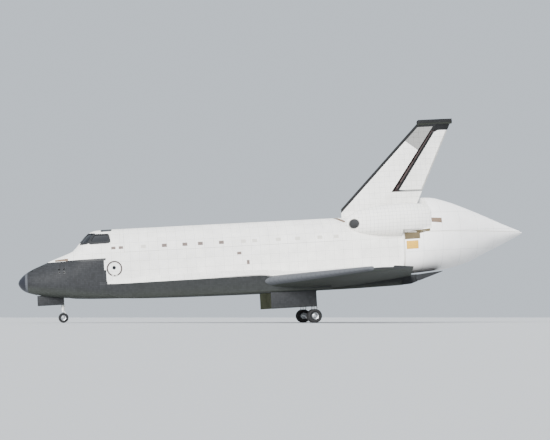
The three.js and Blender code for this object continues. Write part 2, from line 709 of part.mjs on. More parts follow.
function finRing(z) {
  const { lead, chord, hinge, half } = finAt(z);
  const edge = 0.12 * half;
  const outline = [
    [lead, 0], [lead + 1.5, edge + 0.8], [lead + 9, half * 0.22 + 0.8], [hinge, half],
    [lead + chord, 0.5], [lead + chord, -0.5], [hinge, -half], [lead + 9, -half * 0.22 - 0.8],
    [lead + 1.5, -edge - 0.8],
  ];
  return outline.map(([x, y]) => new THREE.Vector3(x, y, z));
}

function rudderLean() {
  const [a, b] = [finAt(RUDDER_BOTTOM), finAt(RUDDER_TOP)];
  return Math.atan2(b.hinge - a.hinge, RUDDER_TOP - RUDDER_BOTTOM);
}

// A wedge of space behind the hinge line between two heights, starting a share of the fin's half
// thickness ahead of the line
function behindRudderLine(z0, z1, ahead) {
  const start = (z) => finAt(z).hinge - ahead * finAt(z).half;
  return plate([[start(z0), z0], [1850, z0], [1850, z1], [start(z1), z1]], -40, 40);
}

// A length of the hinge line's cone between two heights, its ends square to the line
function hingeCone(z0, z1, margin) {
  const [a, b] = [finAt(z0), finAt(z1)];
  const lean = Math.cos(rudderLean());
  return rod([a.hinge, 0, z0], [b.hinge, 0, z1], a.half * lean - margin, b.half * lean - margin, ROUND);
}

// The corner cut off a panel next to its hinge, so that it clears the fin as it swings about the
// leaning line
function panelRelief(z, up, reach, depth) {
  const { hinge } = finAt(z);
  const outline = [
    [hinge - 15, z - up], [hinge + reach, z - up], [hinge + reach, z], [hinge + reach * 0.35, z + up * depth],
    [hinge - 15, z + up * depth],
  ];
  return plate(up > 0 ? outline : outline.reverse(), -40, 40);
}

// Round housing on the fin's tip, with a domed front that overhangs the leading edge
function finCap() {
  const { x0, x1, radius } = FIN_CAP;
  const z = FIN_TIP.z - radius;
  const dome = [[0, 0.3], [1.4, 0.62], [4.2, 0.88], [8, 1]];
  let cap = rod([x0 + 8, 0, z], [x1, 0, z], radius, radius * 0.8, ROUND);
  for (let i = 1; i < dome.length; i += 1) {
    const [[a, ra], [b, rb]] = [dome[i - 1], dome[i]];
    cap = cap.add(rod([x0 + a, 0, z], [x0 + b, 0, z], radius * ra, radius * rb, ROUND));
  }
  return cap;
}

function finParts() {
  const reach = 6;
  let fin = loft([FIN_ROOT.z + SEAM, RUDDER_BOTTOM, RUDDER_TOP, FIN_TIP.z].map(finRing));
  fin = fin.subtract(behindRudderLine(RUDDER_BOTTOM, RUDDER_TOP, RUDDER_LIP));
  const [low, high] = [RUDDER_BOTTOM - reach, RUDDER_TOP + reach].map(finAt);
  const swept = rod([low.hinge, 0, RUDDER_BOTTOM - reach], [high.hinge, 0, RUDDER_TOP + reach],
    low.half + RUN, high.half + RUN, 2 * ROUND);
  fin = fin.subtract(swept.intersect(box(1400, 1900, -40, 40, RUDDER_BOTTOM, RUDDER_TOP)));
  const [z0, z1] = [RUDDER_BOTTOM + 1, RUDDER_TOP - 1];
  const slab = box(1400, 1900, -40, 40, z0, z1);
  const between = (from, to) => [from, to].map((z) => [finAt(z).hinge, 0, z]);
  const axis = (beyond) => between(z0 - beyond, z1 + beyond);
  let shaft = pin(...axis(reach), RUDDER_SHAFT, ROUND).intersect(slab).add(pin(...axis(reach), PIN_RADIUS));
  fin = fin.subtract(bore(...axis(reach + 2), PIN_RADIUS));
  const front = FIN_FRONT - FIN_ROOT.lead;
  fin = fin.subtract(box(FIN_ROOT.lead - 10, FIN_FRONT, -20, 20, FIN_ROOT.z - 5, FIN_ROOT.z + front + 1));
  fin = fin.add(finCap());
  let space = hingeCone(z0 - reach, z1 + reach, RUDDER_WALL);
  let from = RUDDER_SEAL.z0;
  for (const share of RUDDER_PADS) {
    const z = z0 + share * (z1 - z0);
    const half = 4;
    space = space.subtract(rod(...between(z - half, z + half), 30, 30, 8));
    shaft = shaft.add(hingeCone(from, z - half - RUN, RUDDER_WALL + RUDDER_SEAL.gap));
    from = z + half + RUN;
  }
  shaft = shaft.add(hingeCone(from, RUDDER_SEAL.z1, RUDDER_WALL + RUDDER_SEAL.gap));
  const blank = loft([z0, z1].map(finRing)).intersect(behindRudderLine(z0 - 5, z1 + 5, 0));
  let panel = blank.intersect(box(1400, 1900, 0.25, 40, z0, z1));
  panel = panel.subtract(panelRelief(z0, 1, 34, 5)).subtract(panelRelief(z1, -1, 18, 6));
  panel = panel.subtract(space).subtract(bore(...axis(reach), RUDDER_SHAFT, ROUND));
  return { fin, shaft, panel: largest(panel) };
}

// Tail cone over the three main engines

function tailCone() {
  let shell = cone(BASE + SEAM, CONE.at(-1).x);
  const shoulder = box(BASE - 1, CONE_SHOULDER_X, -200, 200, CONE_SHOULDER_Z + CONE_WALL, 600);
  let hollow = cone(BASE - 0.5, 1890, CONE_WALL);
  hollow = hollow.subtract(box(BASE - 2, CONE_SHOULDER_X + CONE_WALL, -200, 200, CONE_SHOULDER_Z, 600));
  shell = shell.subtract(shoulder).subtract(hollow);
  return largest(shell);
}

// Landing gear

function tyreSolid({ tyre, width, hub }) {
  const half = width / 2;
  const shoulder = tyre - half * 0.45;
  const profile = [
    [hub + SEAM, -half * 0.62], [shoulder - 1, -half], [tyre, -half * 0.5], [tyre, half * 0.5],
    [shoulder - 1, half], [hub + SEAM, half * 0.62], [hub + SEAM, -half * 0.62],
  ];
  return solidOf(new THREE.LatheGeometry(profile.map(([r, y]) => new THREE.Vector2(r, y)), ROUND));
}

// Two wheels on a live axle
function wheelSet({ hub, spread, width, axle }) {
  const half = width / 2;
  let solid = pin([0, -spread - half * 0.5, 0], [0, spread + half * 0.5, 0], axle, ROUND);
  for (const side of [-1, 1]) {
    const y = side * spread;
    solid = solid.add(rod([0, y - half * 0.6, 0], [0, y + half * 0.6, 0], hub, hub, ROUND));
    solid = solid.subtract(rod([0, y + side * half * 0.3, 0], [0, y + side * (half + 2), 0], hub * 0.75));
    solid = solid.add(rod([0, y, 0], [0, y + side * half * 0.55, 0], hub * 0.3));
  }
  return solid;
}

const ROW_UP = new THREE.Vector2(Math.sin(GROUND_PITCH), Math.cos(GROUND_PITCH));

// Height of the nose axle that puts all tyres on one floor
function noseAxleZ() {
  const floor = MAIN_GEAR.x * ROW_UP.x + MAIN_GEAR.axleZ * ROW_UP.y - MAIN_GEAR.tyre;
  return (floor + NOSE_GEAR.tyre - NOSE_GEAR.x * ROW_UP.x) / ROW_UP.y;
}

function gearGroup(x, y, z) {
  const group = new THREE.Group();
  group.position.set(x, y, z);
  craft.add(group);
  return group;
}

function addWheels(prefix, gear, group) {
  const wheels = piece(prefix + "_wheels", wheelSet(gear), "white_metal", group);
  wheels.rotation.y = GROUND_PITCH;
  for (const side of [-1, 1]) {
    const tyre = piece(`${prefix}_tyre_${side < 0 ? "port" : "starboard"}`, tyreSolid(gear), "tyre_rubber", wheels);
    tyre.position.y = side * gear.spread;
  }
}

// A leg hangs from a cross shaft in its well and is braced ahead
function mainLeg() {
  const axleZ = MAIN_GEAR.axleZ;
  const { y0, y1, x0 } = MAIN_WELL;
  const { x, y } = MAIN_GEAR;
  const shaftZ = 290 - axleZ;
  let leg = rod([0, 0, shaftZ], [0, 0, 30], 5.5);
  leg = leg.add(rod([0, 0, 32], [0, 0, 0], 3.8));
  leg = leg.add(rod([0, y0 + SEAM - y, shaftZ], [0, y1 - SEAM - y, shaftZ], 3.2));
  leg = leg.add(rod([0, 0, 46], [x0 + 60 - x, 0, shaftZ + 2], 2.2));
  leg = leg.add(rod([x0 + 60 - x, y0 + SEAM - y, shaftZ + 2], [x0 + 60 - x, y1 - SEAM - y, shaftZ + 2], 2));
  leg = leg.add(rod([0, -5, 0], [0, 5, 0], 5.2));
  leg = leg.add(box(5, 9, -1.5, 1.5, 8, 40)).add(box(0, 9, -1.5, 1.5, 6, 10)).add(box(0, 9, -1.5, 1.5, 38, 42));
  return leg.subtract(bore([0, -6, 0], [0, 6, 0], MAIN_GEAR.axle, ROUND));
}

function noseLeg(axleZ) {
  const { y, top } = NOSE_WELL;
  const shaftZ = top - 10 - axleZ;
  let leg = rod([0, 0, shaftZ], [0, 0, 24], 4.2);
  leg = leg.add(rod([0, -y + SEAM, shaftZ], [0, y - SEAM, shaftZ], 2.6));
  leg = leg.add(rod([0, 0, 40], [-46, 0, shaftZ], 1.8));
  leg = leg.add(rod([-46, -y + SEAM, shaftZ], [-46, y - SEAM, shaftZ], 1.8));
  return leg.subtract(bore([0, 0, 20], [0, 0, 40], NOSE_GEAR.piston, ROUND));
}

function nosePiston() {
  let piston = pin([0, 0, 39], [0, 0, 0], NOSE_GEAR.piston, ROUND);
  piston = piston.add(rod([0, 0, 23.5], [0, 0, 19], 3.6));
  piston = piston.add(rod([0, -4, 0], [0, 4, 0], 3.8));
  return piston.subtract(bore([0, -6, 0], [0, 6, 0], NOSE_GEAR.axle, ROUND));
}

function gearDoors() {
  const nose = NOSE_WELL;
  const main = MAIN_WELL;
  for (const [side, name] of [[-1, "left"], [1, "right"]]) {
    const inner = nose.y - SEAM;
    const [a, b] = [side * (inner - 1.6), side * inner].sort((p, q) => p - q);
    const noseDoor = box(nose.x0 + 1, nose.x1 - 2, a, b, 264, 297);
    piece("nose_gear_door_" + name, noseDoor, "black_tile");
    const edge = main.y1 - SEAM;
    const [c, d] = [side * (edge - 3), side * edge].sort((p, q) => p - q);
    const mainDoor = box(main.x0 + 1, main.x1 - 8, c, d, 212, 276);
    piece("main_gear_door_" + name, mainDoor, "black_tile");
  }
}

// Everything in place

function addHullPieces() {
  piece("nose_cap", hull(NOSE_TIP, CAP_END), "carbon");
  const [forward, hatch] = hatchParts(forwardFuselage());
  piece("forward_fuselage", forward, "white_tile");
  piece("side_hatch", hatch, "white_tile");
  piece("windshield_glass", windshieldGlass(), "glass");
  piece("overhead_glass", overheadGlass(), "glass");
  piece("cabin_bulkhead", cabinBulkhead(), "green_primer");
  piece("flight_deck", flightDeck(), "cabin_grey");
  for (const [side, name] of [[-1, "left"], [1, "right"]]) {
    const chair = piece("seat_" + name, seat(), "seat_fabric");
    chair.position.set(483, side * 22, 417 + SEAM);
  }
  let mid = midFuselage();
  let door = bayDoor();
  [mid, door] = doorHinges(mid, door);
  mid = mirrored(doorHinges(mirrored(mid), bayDoor())[0]);
  piece("mid_fuselage", mid, "white_blanket");
  piece("bay_door_right", door, "white_tile");
  piece("bay_door_left", mirrored(door), "white_tile");
  piece("radiator_right", radiator(), "radiator");
  piece("radiator_left", mirrored(radiator()), "radiator");
  const flapLug = { length: 15, half: 3, width: 4, low: 0, high: radians(34.2) };
  const lugFrame = flapFrame();
  const [aft, flap] = hingePair(aftFuselage(), bodyFlap(), lugFrame, [-80, 0, 80], flapLug);
  piece("aft_fuselage", aft, "white_tile");
  piece("body_flap", flap, "black_tile");
  const pod = enginePod();
  piece("engine_pod_right", pod, "white_blanket");
  piece("engine_pod_left", mirrored(pod), "white_blanket");
  piece("tail_cone", tailCone(), "white_paint");
  const { halfWidth, x0, x1, z0, z1 } = ENGINES;
  piece("main_engines", box(x0, x1, -halfWidth, halfWidth, z0, z1), "steel");
}

function addWings() {
  const { wing, elevons } = wingParts();
  const edge = largest(wing.intersect(leadingEdgeCutter(RCC_DEPTH)));
  const panel = largest(wing.subtract(leadingEdgeCutter(RCC_DEPTH + SEAM)));
  piece("wing_right", panel, "white_tile");
  piece("wing_left", mirrored(panel), "white_tile");
  piece("leading_edge_right", edge, "grey_carbon");
  piece("leading_edge_left", mirrored(edge), "grey_carbon");
  for (const { name, solid } of elevons) {
    piece(`elevon_${name}_right`, solid, "white_tile");
    piece(`elevon_${name}_left`, mirrored(solid), "white_tile");
  }
}

function addFin() {
  const { fin, shaft, panel } = finParts();
  piece("fin", fin, "white_tile");
  piece("rudder_shaft", shaft, "steel");
  piece("rudder_panel_right", panel, "white_tile");
  piece("rudder_panel_left", mirrored(panel), "white_tile");
}

function addGear() {
  const axleZ = noseAxleZ();
  const nose = gearGroup(NOSE_GEAR.x, 0, axleZ);
  piece("nose_leg", noseLeg(axleZ), "white_metal", nose);
  piece("nose_piston", nosePiston(), "steel", nose);
  addWheels("nose", NOSE_GEAR, nose);
  for (const [side, name] of [[-1, "left"], [1, "right"]]) {
    const main = gearGroup(MAIN_GEAR.x, side * MAIN_GEAR.y, MAIN_GEAR.axleZ);
    const leg = mainLeg();
    piece("main_leg_" + name, side > 0 ? leg : mirrored(leg), "white_metal", main);
    addWheels("main_" + name, MAIN_GEAR, main);
  }
  gearDoors();
}

addHullPieces();
addWings();
addFin();
addGear();

// The craft pitched on its gear, in millimetres, with the middle of its box over the origin
craft.rotation.y = -GROUND_PITCH;
craft.scale.setScalar(INCH);
const model = new THREE.Group();
model.add(craft);
const extent = new THREE.Box3().setFromObject(model, true);
craft.position.set(-(extent.min.x + extent.max.x) / 2, 0, -extent.min.z);

export default model;
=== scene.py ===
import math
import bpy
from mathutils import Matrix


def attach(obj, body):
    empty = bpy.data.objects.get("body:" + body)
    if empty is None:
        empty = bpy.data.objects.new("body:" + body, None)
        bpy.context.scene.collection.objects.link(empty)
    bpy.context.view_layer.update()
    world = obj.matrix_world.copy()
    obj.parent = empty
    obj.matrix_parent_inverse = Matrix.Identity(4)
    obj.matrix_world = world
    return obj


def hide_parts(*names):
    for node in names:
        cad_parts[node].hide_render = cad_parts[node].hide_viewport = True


bl_info = {
    "name": "Orbiter with ferry tail cone",
    "version": (1, 0, 0),
    "blender": (4, 5, 0),
    "location": "View3D > Sidebar > Orbiter",
    "description": "Skins, glass, cabin, gear and finishes of a half-scale winged orbiter",
    "category": "Add Mesh",
}

import bmesh
import bpy
from bpy.props import FloatProperty, FloatVectorProperty, IntProperty, PointerProperty
from bpy.types import Operator, Panel, PropertyGroup
from mathutils import Matrix, Vector

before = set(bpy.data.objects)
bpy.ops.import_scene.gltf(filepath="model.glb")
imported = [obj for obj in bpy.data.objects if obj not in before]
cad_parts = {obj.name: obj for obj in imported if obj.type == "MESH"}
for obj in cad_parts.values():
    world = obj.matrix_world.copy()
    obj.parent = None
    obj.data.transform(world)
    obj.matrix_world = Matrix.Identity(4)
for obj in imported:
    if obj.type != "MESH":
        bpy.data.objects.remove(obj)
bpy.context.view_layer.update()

# The craft's own frame: x aft, y to starboard, z up, in inches of the real craft
INCH = 0.0127  # metres of the half-scale model
GROUND_PITCH = math.radians(3.3)  # nose down on its wheels
ORIGIN = Vector((-13.378147, 0.0, -2.885454))  # where the craft's station zero lies in the shared frame
CRAFT = Matrix.Translation(ORIGIN) @ Matrix.Rotation(-GROUND_PITCH, 4, "Y") @ Matrix.Scale(INCH, 4)
SIDES = ((-1, "left"), (1, "right"))

# Hull sections: station, half width, top, bottom, height of the widest point, roundness above
# and below it
HULL = (
    (238, 1.5, 341, 338, 339.5, 2, 2),
    (241, 10.5, 349, 330, 339.5, 2, 2),
    (249, 21.5, 359, 319.5, 339, 2, 2),
    (262, 34, 370, 310.5, 338, 2, 2.1),
    (285, 49, 383, 302.5, 336, 2, 2.3),
    (320, 63, 397, 294, 334, 2, 2.6),
    (360, 74, 413, 288, 336, 2, 3),
    (400, 83, 427, 284, 341, 2, 3.5),
    (418, 91, 435, 281, 347, 2, 4),
    (443, 95, 463, 279.5, 358, 2, 5),
    (468, 98, 489, 278, 368, 2, 6),
    (493, 100.5, 498, 277, 378, 2, 7),
    (523, 103, 500, 276, 387, 2, 9),
    (582, 105, 500, 274, 392, 2, 12),
    (780, 105, 500, 268, 392, 2, 14),
    (1307, 105, 500, 264, 392, 2, 14),
    (1486, 105, 500, 266, 396, 2.3, 12),
)
CONE = (
    (1486, 113, 548, 299, 420, 2.2, 3.2),
    (1515, 121, 551, 302, 430, 2.2, 3),
    (1560, 143, 553, 305, 440, 2.2, 2.8),
    (1600, 150, 552, 308, 442, 2.2, 2.6),
    (1646, 146, 540, 312, 438, 2.2, 2.5),
    (1711, 127, 515, 327, 432, 2.1, 2.3),
    (1784, 96, 482, 358, 425, 2, 2.1),
    (1838, 67, 456, 381, 420, 2, 2),
    (1878, 41, 438, 399, 418.5, 2, 2),
    (1903, 20, 427, 410, 418.5, 2, 2),
    (1916, 3, 420, 417, 418.5, 2, 2),
)
# Engine pod sections: station, centre across and up, half sizes
POD = (
    (1306, 78, 478, 5, 6),
    (1316, 79, 479, 18, 20),
    (1340, 82, 479, 31, 34),
    (1380, 87, 479, 43, 44),
    (1430, 92, 480, 51, 50),
    (1500, 96, 479, 54, 53),
    (1545, 98, 478, 52, 51),
    (1576, 99, 476, 47, 46),
)
# Glove sections: station, outer edge across, belly, roof, height of the edge
GLOVE = (
    (500, 103, 300, 335, 320),
    (560, 112.7, 277, 342, 320),
    (700, 135.4, 270.5, 345, 320),
    (850, 159.8, 267.5, 345, 320),
    (1000, 184, 265.5, 342, 320),
    (1120, 196, 265, 334, 302),
    (1230, 200, 265, 326, 302),
)
# Stations along the hull, and its hollows
NOSE_TIP, CAP_END, CABIN_FRONT, CABIN_END, BAY_END, AFT_START, BASE = 238, 262, 430, 582, 1303, 1307, 1486
CABIN_WALL, DOOR_WALL, AFT_WALL = 4, 5, 5
BAY_RADIUS, BAY_AXIS_Z, SILL_Z = 92, 400, 420
FRAME_START, FRAME_PITCH, FRAME_DEPTH = CABIN_END + 28, 56.5, 3.5  # the bay's ring frames
GAP = 0.03  # between two skins that meet, so that they share no face
ACROSS_HULL = (-130, 130)  # from side to side, clear of the hull
OVER_HULL, UNDER_HULL = 520, 250  # heights clear of the hull
SHOULDER_X, SHOULDER_Z = 1577, 445  # where the shoulder under the pods ends, and its foot
POD_INNER_Y, POD_ROUND = 36, 2 / 2.3  # the pod's flat side, and the power of its round corners

# Windows and hatch
EYE = Vector((526, 0, 462))  # between the two seats, at the height of the eyes
WINDSHIELD = ((1.5, 20, 2, 23), (24, 48, -2, 23), (54, 96, -3, 20))  # bearings and rises, degrees
WINDSHIELD_REACH, WINDSHIELD_ROUND = (20, 150), 2 / 7  # how far its tools go, and its corners' power
ROOF_PANE = (528, 22, 13, 11)  # station, distance from the middle, half sizes
ROOF_REACH, ROOF_ROUND = (474, 520), 0.3
ROOF_DEGREE = 1.2  # inches of roof that a degree covers, seen from the seats
PANE_FACE, PANE_BACK, PANE_MARGIN = 1.0, 2.0, 0.4  # how deep the glass lies, and its hidden edge, degrees
SURROUND_FOOT, SURROUND_LIP = 0.97, 0.35  # how deep a surround starts, and how far it laps the opening
HATCH_X, HATCH_Z, HATCH_RADIUS, HATCH_WALL = 548, 369, 19.6, 3.6
HATCH_FACE_Y, HATCH_HINGE = -103.7, (-104.65, 347.6)  # the flank there, and the hinge across and up
PORTHOLE_Z, PORTHOLE_RADIUS = HATCH_Z + 3, 5.2

# Nose thrusters: station, height, radius. Three fire upwards and four to the side
THRUSTERS = (
    (284, 377, 2.6), (300, 386, 2.6), (316, 392, 2.6),
    (372, 377, 2.8), (388, 377, 2.8), (372, 366, 2.8), (388, 366, 2.8),
)
# The cup in each: share of its radius, and inches out from the skin
THRUSTER_CUP = (
    (0, -4.6), (0.75, -4.6), (1.0, 0.1), (1.35, 0.15), (1.35, -0.3), (1.12, -0.6), (0.9, -4.8), (0, -4.8),
)

# Wings and elevons
HINGE_X, HINGE_Z, DIHEDRAL = 1387, 288.2, math.radians(3.5)
WING_ROOT, WING_TIP, WING_LEAD, WING_TRAIL, TRAIL_SWEEP = 99, 468.3, 836, 1525.2, 0.1773
WING_STATIONS = (WING_ROOT, 150, 183, 230, 280, 330, 380, 430, 462)
TIP_DEPTH, TIP_TURNS = 6.3, (0.4, 0.8, 1.1, 1.35, 1.5)  # its round end, and the turns of its sections
THICKNESS, TWIST = 0.115, 0.0087  # of the section, as a share of its chord, and its drop per inch aft
RCC_START_Y, RCC_DEPTH = 183, 14  # where the carbon edge starts, and how far back it goes
ELEVONS = (("inboard", 117.5, 312.5), ("outboard", 313.5, 466.5))
WING = Matrix.Translation((HINGE_X, 0, HINGE_Z)) @ Matrix.Rotation(DIHEDRAL, 4, "X")

# Fin, rudder and body flap
FIN_ROOT_Z, FIN_TIP_Z, FIN_LEAD, FIN_ROOT_CHORD, FIN_TIP_CHORD = 500, 815.7, 1277.9, 268.5, 108.5
FIN_HINGE, FIN_HALF = 0.6, 0.0525  # where its hinge line lies and half its thickness, shares of the chord
FIN_FRONT = AFT_START  # its foot stands behind the bay doors
FIN_CAP = (1580, 1700, 9.6)  # round housing on the tip: its ends and its radius
RUDDER_BOTTOM, RUDDER_TOP = 578, 779
RUDDER_LIP = 1.05  # how far ahead of the hinge line the fin is open, in half thicknesses
# The rudder's shaft: bottom and top of each length, and how much thinner it is than the fin
SHAFT_CONES = ((587, 598.4), (607.4, 674), (683, 749.6), (758.6, 773))
SHAFT_ENDS, SHAFT_CORE, SHAFT_THINNER = (570, 787), 3.26, 2.2
FLAP_HINGE = (1532, 287)  # station and height
FLAP_RADIUS, FLAP_CHORD, FLAP_HALF_SPAN = 10, 81, 111
FLAP_REST = math.radians(11.7)  # it stands raised, clear of the cone

# Landing gear: the wells, the axles' middles, and tyre radius and width, hub, spread and axle
NOSE_WELL = (296, 383.5, 21, 331)  # front, rear, half width, roof
MAIN_WELL = (1036, 1192, 109, 169, 304)  # front, rear, inner and outer side, roof
MAIN_AXLE, MAIN_WHEEL, MAIN_TRUNNION_Z = (1177, 136, 182), (22.25, 16, 11, 20, 3.2), 290
NOSE_AXLE, NOSE_WHEEL, NOSE_TRUNNION_Z = (377, 0, 221.87), (16, 8.8, 8, 11, 2.2), NOSE_WELL[3] - 10

# Covers over the door hinges: station, and how dark
HINGE_COVERS = (
    (644, "pale"), (711, "brown"), (777, "brown"), (827, "brown"), (895, "brown"), (966, "pale"),
    (1003, "pale"), (1080, "pale"), (1143, "pale"), (1216, "pale"), (1270, "pale"),
)

# Seats: where the starboard one stands, and its parts drawn from the side, the pads with half widths
SEAT = (483, 22, 417.1)
SEAT_SIDE = (
    (-9, 11), (-7, 9), (-1, 0), (11, 0), (12, 13.8), (18.8, 42), (17.2, 42), (10.4, 14), (-9, 12),
)
SEAT_PADS = (
    ("cushion", [(-8.2, 13.0), (-8.2, 17.8), (6.6, 16.2), (9.4, 13.0)], 7.4),
    ("back", [(8.4, 18.0), (13.2, 35.0), (16.4, 34.4), (11.2, 16.4)], 7.2),
    ("headrest", [(13.6, 36.6), (15.2, 42.2), (18.0, 41.6), (16.8, 36.0)], 4.6),
)
STRAP = (
    (8.0, 17.2), (8.15, 21.2), (11.1, 32.6), (12.9, 36.2), (13.2, 36.1), (11.4, 32.5), (8.45, 21.1),
    (8.4, 17.1),
)
PAD_SWELL, PAD_VOXEL = 0.008, 0.006  # metres: how far a pad may swell, and its even mesh
PAD_PRESSURE, PAD_FRAMES, PAD_QUICK_FRAMES = 4, 20, 6  # of the cloth that swells it


# Colours and nodes


def linear(hex_colour):
    """A linear RGB triple from an sRGB hex value."""
    parts = [int(hex_colour[i : i + 2], 16) / 255 for i in (1, 3, 5)]
    return tuple(c / 12.92 if c <= 0.04045 else ((c + 0.055) / 1.055) ** 2.4 for c in parts)


def put(tree, kind, settings=None, *values, **named):
    """Adds one shader node, with its settings or its operation, its first inputs in order and its
    named inputs."""
    node = tree.nodes.new("ShaderNode" + kind)
    if isinstance(settings, str):
        settings = {"operation": settings}
    for key, value in (settings or {}).items():
        setattr(node, key, value)
    pairs = list(zip([s for s in node.inputs if s.enabled], values))
    pairs += [(node.inputs[key.replace("_", " ")], value) for key, value in named.items()]
    for socket, value in pairs:
        if isinstance(value, bpy.types.Node):
            value = next(s for s in value.outputs if s.enabled)
        if isinstance(value, bpy.types.NodeSocket):
            tree.links.new(value, socket)
        elif value is not None:
            socket.default_value = (*value, 1.0) if len_of(socket) == 4 and len(value) == 3 else value
    return node


def len_of(socket):
    """How many numbers a socket holds."""
    try:
        return len(socket.default_value)
    except TypeError:
        return 1


def started(name):
    """A new material: its tree, its surface shader, the craft's own coordinates in inches, and the
    way each face looks."""
    material = bpy.data.materials.new(name)
    material.use_nodes = True
    tree = material.node_tree
    place = put(tree, "TexCoord")
    back = CRAFT.inverted()
    craft = put(
        tree, "Mapping", {"vector_type": "POINT"}, place.outputs["Object"],
        back.to_translation(), back.to_euler(), back.to_scale(),
    )
    return tree, tree.nodes["Principled BSDF"], craft, place.outputs["Normal"]


def shaded(tone, share):
    """A colour made darker or lighter."""
    return tuple(min(1.0, c * share) for c in tone)


# Bodies made with bmesh, in inches of the craft


def eased(table, x):
    """One section of a table at a station, on a curve that never swings past its rows."""
    xs = [row[0] for row in table]
    i = max(0, min(len(xs) - 2, sum(1 for v in xs[1:-1] if v <= x)))
    step = xs[i + 1] - xs[i]
    t = (x - xs[i]) / step
    found = []
    for column in range(1, len(table[0])):
        ys = [row[column] for row in table]
        slope = [(ys[k + 1] - ys[k]) / (xs[k + 1] - xs[k]) for k in range(len(xs) - 1)]

        def tangent(k):
            """The curve's slope at a row, level where the table turns back."""
            if k == 0 or k == len(xs) - 1:
                return slope[min(k, len(slope) - 1)]
            a, b = slope[k - 1], slope[k]
            return 0 if a * b <= 0 else 2 * a * b / (a + b)

        if 0 <= t <= 1:
            h = (2 * t**3 - 3 * t**2 + 1, t**3 - 2 * t**2 + t, 3 * t**2 - 2 * t**3, t**3 - t**2)
            near = h[0] * ys[i] + h[1] * step * tangent(i)
            found.append(near + h[2] * ys[i + 1] + h[3] * step * tangent(i + 1))
        else:
            found.append(ys[i] + slope[i] * (x - xs[i]))
    return found


def stations(table, step):
    """Stations over a whole table: its rows, and others between them at most a step apart. Ahead of
    station 600, where the hull curves most, each row has one more after it."""
    found = []
    for (a, *_), (b, *_) in zip(table, table[1:]):
        parts = max(2 if a < 600 else 1, math.ceil((b - a) / step))
        found += [a + (b - a) * k / parts for k in range(parts)]
    return found + [table[-1][0]]


def squared(value, power):
    """A sine or cosine drawn towards 1, which squares off a circle."""
    return math.copysign(abs(value) ** power, value)


def round_points(count, power):
    """Points of a circle of radius 1, squared off."""
    turns = [2 * math.pi * i / count for i in range(count)]
    return [(squared(math.cos(t), power), squared(math.sin(t), power)) for t in turns]


def body_ring(table, x, wall, around):
    """One section of the hull or cone, a wall's thickness inside its skin."""
    w, top, bottom, wide, above, below = eased(table, x)
    ring = []
    for i in range(around):
        turn = 2 * math.pi * i / around
        c, s = math.cos(turn), math.sin(turn)
        power = 2 / (above if s >= 0 else below)
        reach = top - wall - wide if s >= 0 else wide - bottom - wall
        ring.append(Vector((x, squared(c, power) * (w - wall), wide + squared(s, power) * reach)))
    return ring


def lofted(rings):
    """A closed skin over rings of equally many points: a grid wrapped round them, its ends filled."""
    bm = bmesh.new()
    around = len(rings[0])
    bmesh.ops.create_grid(bm, x_segments=len(rings) - 1, y_segments=around, size=1)
    bm.verts.ensure_lookup_table()
    for k in range(around + 1):
        for r, ring in enumerate(rings):
            bm.verts[k * len(rings) + r].co = ring[k % around]
    bmesh.ops.remove_doubles(bm, verts=bm.verts, dist=1e-4)
    bmesh.ops.holes_fill(bm, edges=bm.edges, sides=0)
    bmesh.ops.recalc_face_normals(bm, faces=bm.faces)
    return bm


def made(bm):
    """A bmesh as an object in the scene."""
    mesh = bpy.data.meshes.new("work")
    bm.to_mesh(mesh)
    bm.free()
    obj = bpy.data.objects.new("work", mesh)
    bpy.context.scene.collection.objects.link(obj)
    return obj


def body_skin(table, x0, x1, wall=0.0):
    """A length of a body. Its rings lie at the table's own stations and its two ends are drawn
    straight between them, so that a strip lies evenly on the skin below it."""
    sizes = bpy.context.scene.orbiter_sizes
    marks = stations(table, sizes.station_step)

    def end(x):
        """An end's ring, drawn straight between the table's rings on either side of it."""
        i = min(len(marks) - 1, max(1, sum(1 for m in marks if m < x)))
        a, b = marks[i - 1], marks[i]
        pair = [body_ring(table, m, wall, sizes.around) for m in (a, b)]
        return [p.lerp(q, (x - a) / (b - a)) for p, q in zip(*pair)]

    inside = [body_ring(table, x, wall, sizes.around) for x in marks if x0 + 0.5 < x < x1 - 0.5]
    return made(lofted([end(x0), *inside, end(x1)]))


def hull(x0, x1, wall=0.0):
    """A length of the hull, or of the space a wall's thickness inside it."""
    return body_skin(HULL, x0, x1, wall)


def block(x0, x1, y0, y1, z0, z1):
    """A box between two corners."""
    bm = bmesh.new()
    bmesh.ops.create_cube(bm, size=1)
    bmesh.ops.scale(bm, verts=bm.verts, vec=(x1 - x0, y1 - y0, z1 - z0))
    bmesh.ops.translate(bm, verts=bm.verts, vec=((x0 + x1) / 2, (y0 + y1) / 2, (z0 + z1) / 2))
    return made(bm)


def bar(start, end, radius, end_radius=None, sides=32, bevel=0.0):
    """A round bar or cone from one point to another."""
    start, end = Vector(start), Vector(end)
    bm = bmesh.new()
    far = radius if end_radius is None else end_radius
    length = (end - start).length
    bmesh.ops.create_cone(bm, cap_ends=True, segments=sides, radius1=radius, radius2=far, depth=length)
    if bevel:
        rims = [e for e in bm.edges if abs(e.verts[0].co.z - e.verts[1].co.z) < 1e-6]
        bmesh.ops.bevel(bm, geom=rims, offset=bevel, affect="EDGES", segments=2, profile=0.5, material=-1)
    turn = (end - start).to_track_quat("Z", "Y").to_matrix().to_4x4()
    bmesh.ops.transform(bm, matrix=Matrix.Translation((start + end) / 2) @ turn, verts=bm.verts)
    return made(bm)


def crossbar(x, half, z, radius, **settings):
    """A round bar from side to side."""
    return bar((x, -half, z), (x, half, z), radius, **settings)


def rect(x0, x1, z0, z1):
    """A rectangle's outline in x and z."""
    return [(x0, z0), (x1, z0), (x1, z1), (x0, z1)]


